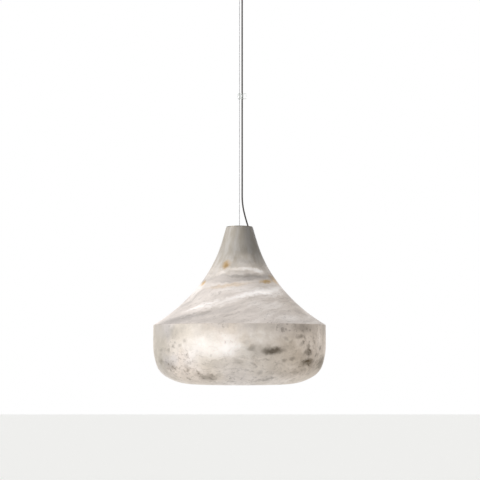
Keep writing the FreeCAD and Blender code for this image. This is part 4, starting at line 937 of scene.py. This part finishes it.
cap_metal = worked_metal("rolled_cap_metal", tint(208, 208, 209), 0.28, 1500, (1, 1, 8), 0.000006)
cap_outside = thread_rings(0.01277, 0.00033, -0.9922, -0.9723, 60)
cap_inside = thread_rings(0.01242, 0.00033, -0.9922, -0.9723, 60)
cap_rings = [(0.01279, -0.9926, 0), *cap_outside, (0.0126, -0.9712, 0), (0.0121, -0.9707, 0)]
cap_rings += [(0.0036, -0.9707, 0), (0.0036, -0.971, 0), (0.0119, -0.9711, 0), *cap_inside[::-1]]
cap_rings += [(0.01244, -0.9926, 0)]
screw_cap = threaded("bulb_screw_cap", cap_rings, cap_metal)
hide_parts("bulb_cap")
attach(screw_cap, "bulb")

opal, opal_shader = new_finish("lit_opal_glass", tint(250, 248, 242), 0.3)
opal_flow = clouds(opal, surface_place(opal, (1, 1, 0.4)), 30, 2.0)
opal_light = blended(opal, fade(opal, opal_flow, 0.3, 0.7), tint(255, 238, 214), tint(255, 246, 230))
put(opal, opal_light, opal_shader.inputs["Emission Color"])
opal_shader.inputs["Emission Strength"].default_value = 5.0
put(opal, fade(opal, opal_flow, 0.3, 0.7, 0.26, 0.36), opal_shader.inputs["Roughness"])

black_glass = moulded("black_glass", tint(30, 30, 32), 0.12, 800, 0.00001, 0.05, 0.6)
solder = worked_metal("solder", tint(186, 187, 190), 0.38, 2200, (1, 1, 1), 0.00002)

emitters, emitter_shader = new_finish("emitter_ceramic", tint(238, 235, 222), 0.6)
emitter_grid = clouds(emitters, surface_place(emitters, (1, 1, 0.5)), 420, 0.0)
emitter_share = fade(emitters, emitter_grid, 0.52, 0.58)
emitter_colour = blended(emitters, emitter_share, tint(240, 238, 230), tint(236, 206, 96))
put(emitters, emitter_colour, emitter_shader.inputs["Base Color"])
relief(emitters, emitter_shader, emitter_share, 0.0002)

dress(["bulb_globe"], opal)
dress(["bulb_insulator"], black_glass)
dress(["bulb_contact"], solder)
dress(["bulb_led_column"], emitters)


# ---------------------------------------------------------------- room, light and camera
# A plain floor, pale to the camera, one large soft light from the left and a white room round it.
# The camera stands 2.9 m away, 0.3 m below the cap, and looks slightly up.

FLOOR_HEIGHT = -2.4
FLOOR_REACH = 20

floor_paint, floor_shader = new_finish("pale_floor", tint(240, 240, 238), 0.85)
floor_grain = clouds(floor_paint, surface_place(floor_paint), 60, 4.0)
floor_tone = blended(floor_paint, floor_grain, tint(238, 238, 236), tint(243, 243, 241))
put(floor_paint, floor_tone, floor_shader.inputs["Base Color"])
floor_seen = floor_paint.node_tree.nodes.new("ShaderNodeLightPath")
floor_rays = floor_seen.outputs
floor_pale = maths(floor_paint, "MAXIMUM", floor_rays["Is Camera Ray"], floor_rays["Is Glossy Ray"])
floor_pale = maths(floor_paint, "MAXIMUM", floor_pale, floor_rays["Is Transmission Ray"])
floor_shader.inputs["Emission Color"].default_value = tint(236, 236, 234)
put(floor_paint, maths(floor_paint, "MULTIPLY", floor_pale, 0.68), floor_shader.inputs["Emission Strength"])
floor_sides = [(-1, -1), (1, -1), (1, 1), (-1, 1)]
floor_corners = [(x * FLOOR_REACH, y * FLOOR_REACH, FLOOR_HEIGHT) for x, y in floor_sides]
floor = new_piece("floor", floor_corners, [(0, 1, 2, 3)], floor_paint)

room = bpy.data.worlds.new("white_room")
bpy.context.scene.world = room
room.use_nodes = True
room.node_tree.nodes.clear()
room_out = room.node_tree.nodes.new("ShaderNodeOutputWorld")
ray = room.node_tree.nodes.new("ShaderNodeLightPath")
seen = maths(room, "MAXIMUM", ray.outputs["Is Camera Ray"], ray.outputs["Is Glossy Ray"])
seen = maths(room, "MAXIMUM", seen, ray.outputs["Is Transmission Ray"])
room_light = room.node_tree.nodes.new("ShaderNodeBackground")
room_light.inputs["Color"].default_value = (1, 1, 1, 1)
put(room, maths(room, "MULTIPLY_ADD", seen, 0.74, 0.26), room_light.inputs["Strength"])
room.node_tree.links.new(room_light.outputs[0], room_out.inputs["Surface"])

soft = bpy.data.lights.new("soft_light", "AREA")
soft.shape = "DISK"
soft.size = 1.5
soft.energy = 92
soft_light = bpy.data.objects.new("soft_light", soft)
soft_light.location = (-2.9, -1.5, 0.1)
lamp_middle = Vector((0, 0, -0.95))
aim = lamp_middle - soft_light.location
soft_light.rotation_euler = aim.to_track_quat("-Z", "Y").to_euler()
bpy.context.scene.collection.objects.link(soft_light)

lens = bpy.data.cameras.new("camera")
lens.sensor_width = 36
lens.lens = 83.25
lens.clip_start = 0.05
camera = bpy.data.objects.new("camera", lens)
camera.location = (0.0013, -2.9, -1.0558)
camera.rotation_euler = (math.radians(95.57), 0, 0)
bpy.context.scene.collection.objects.link(camera)
bpy.context.scene.camera = camera
bpy.context.scene.view_settings.view_transform = "Standard"
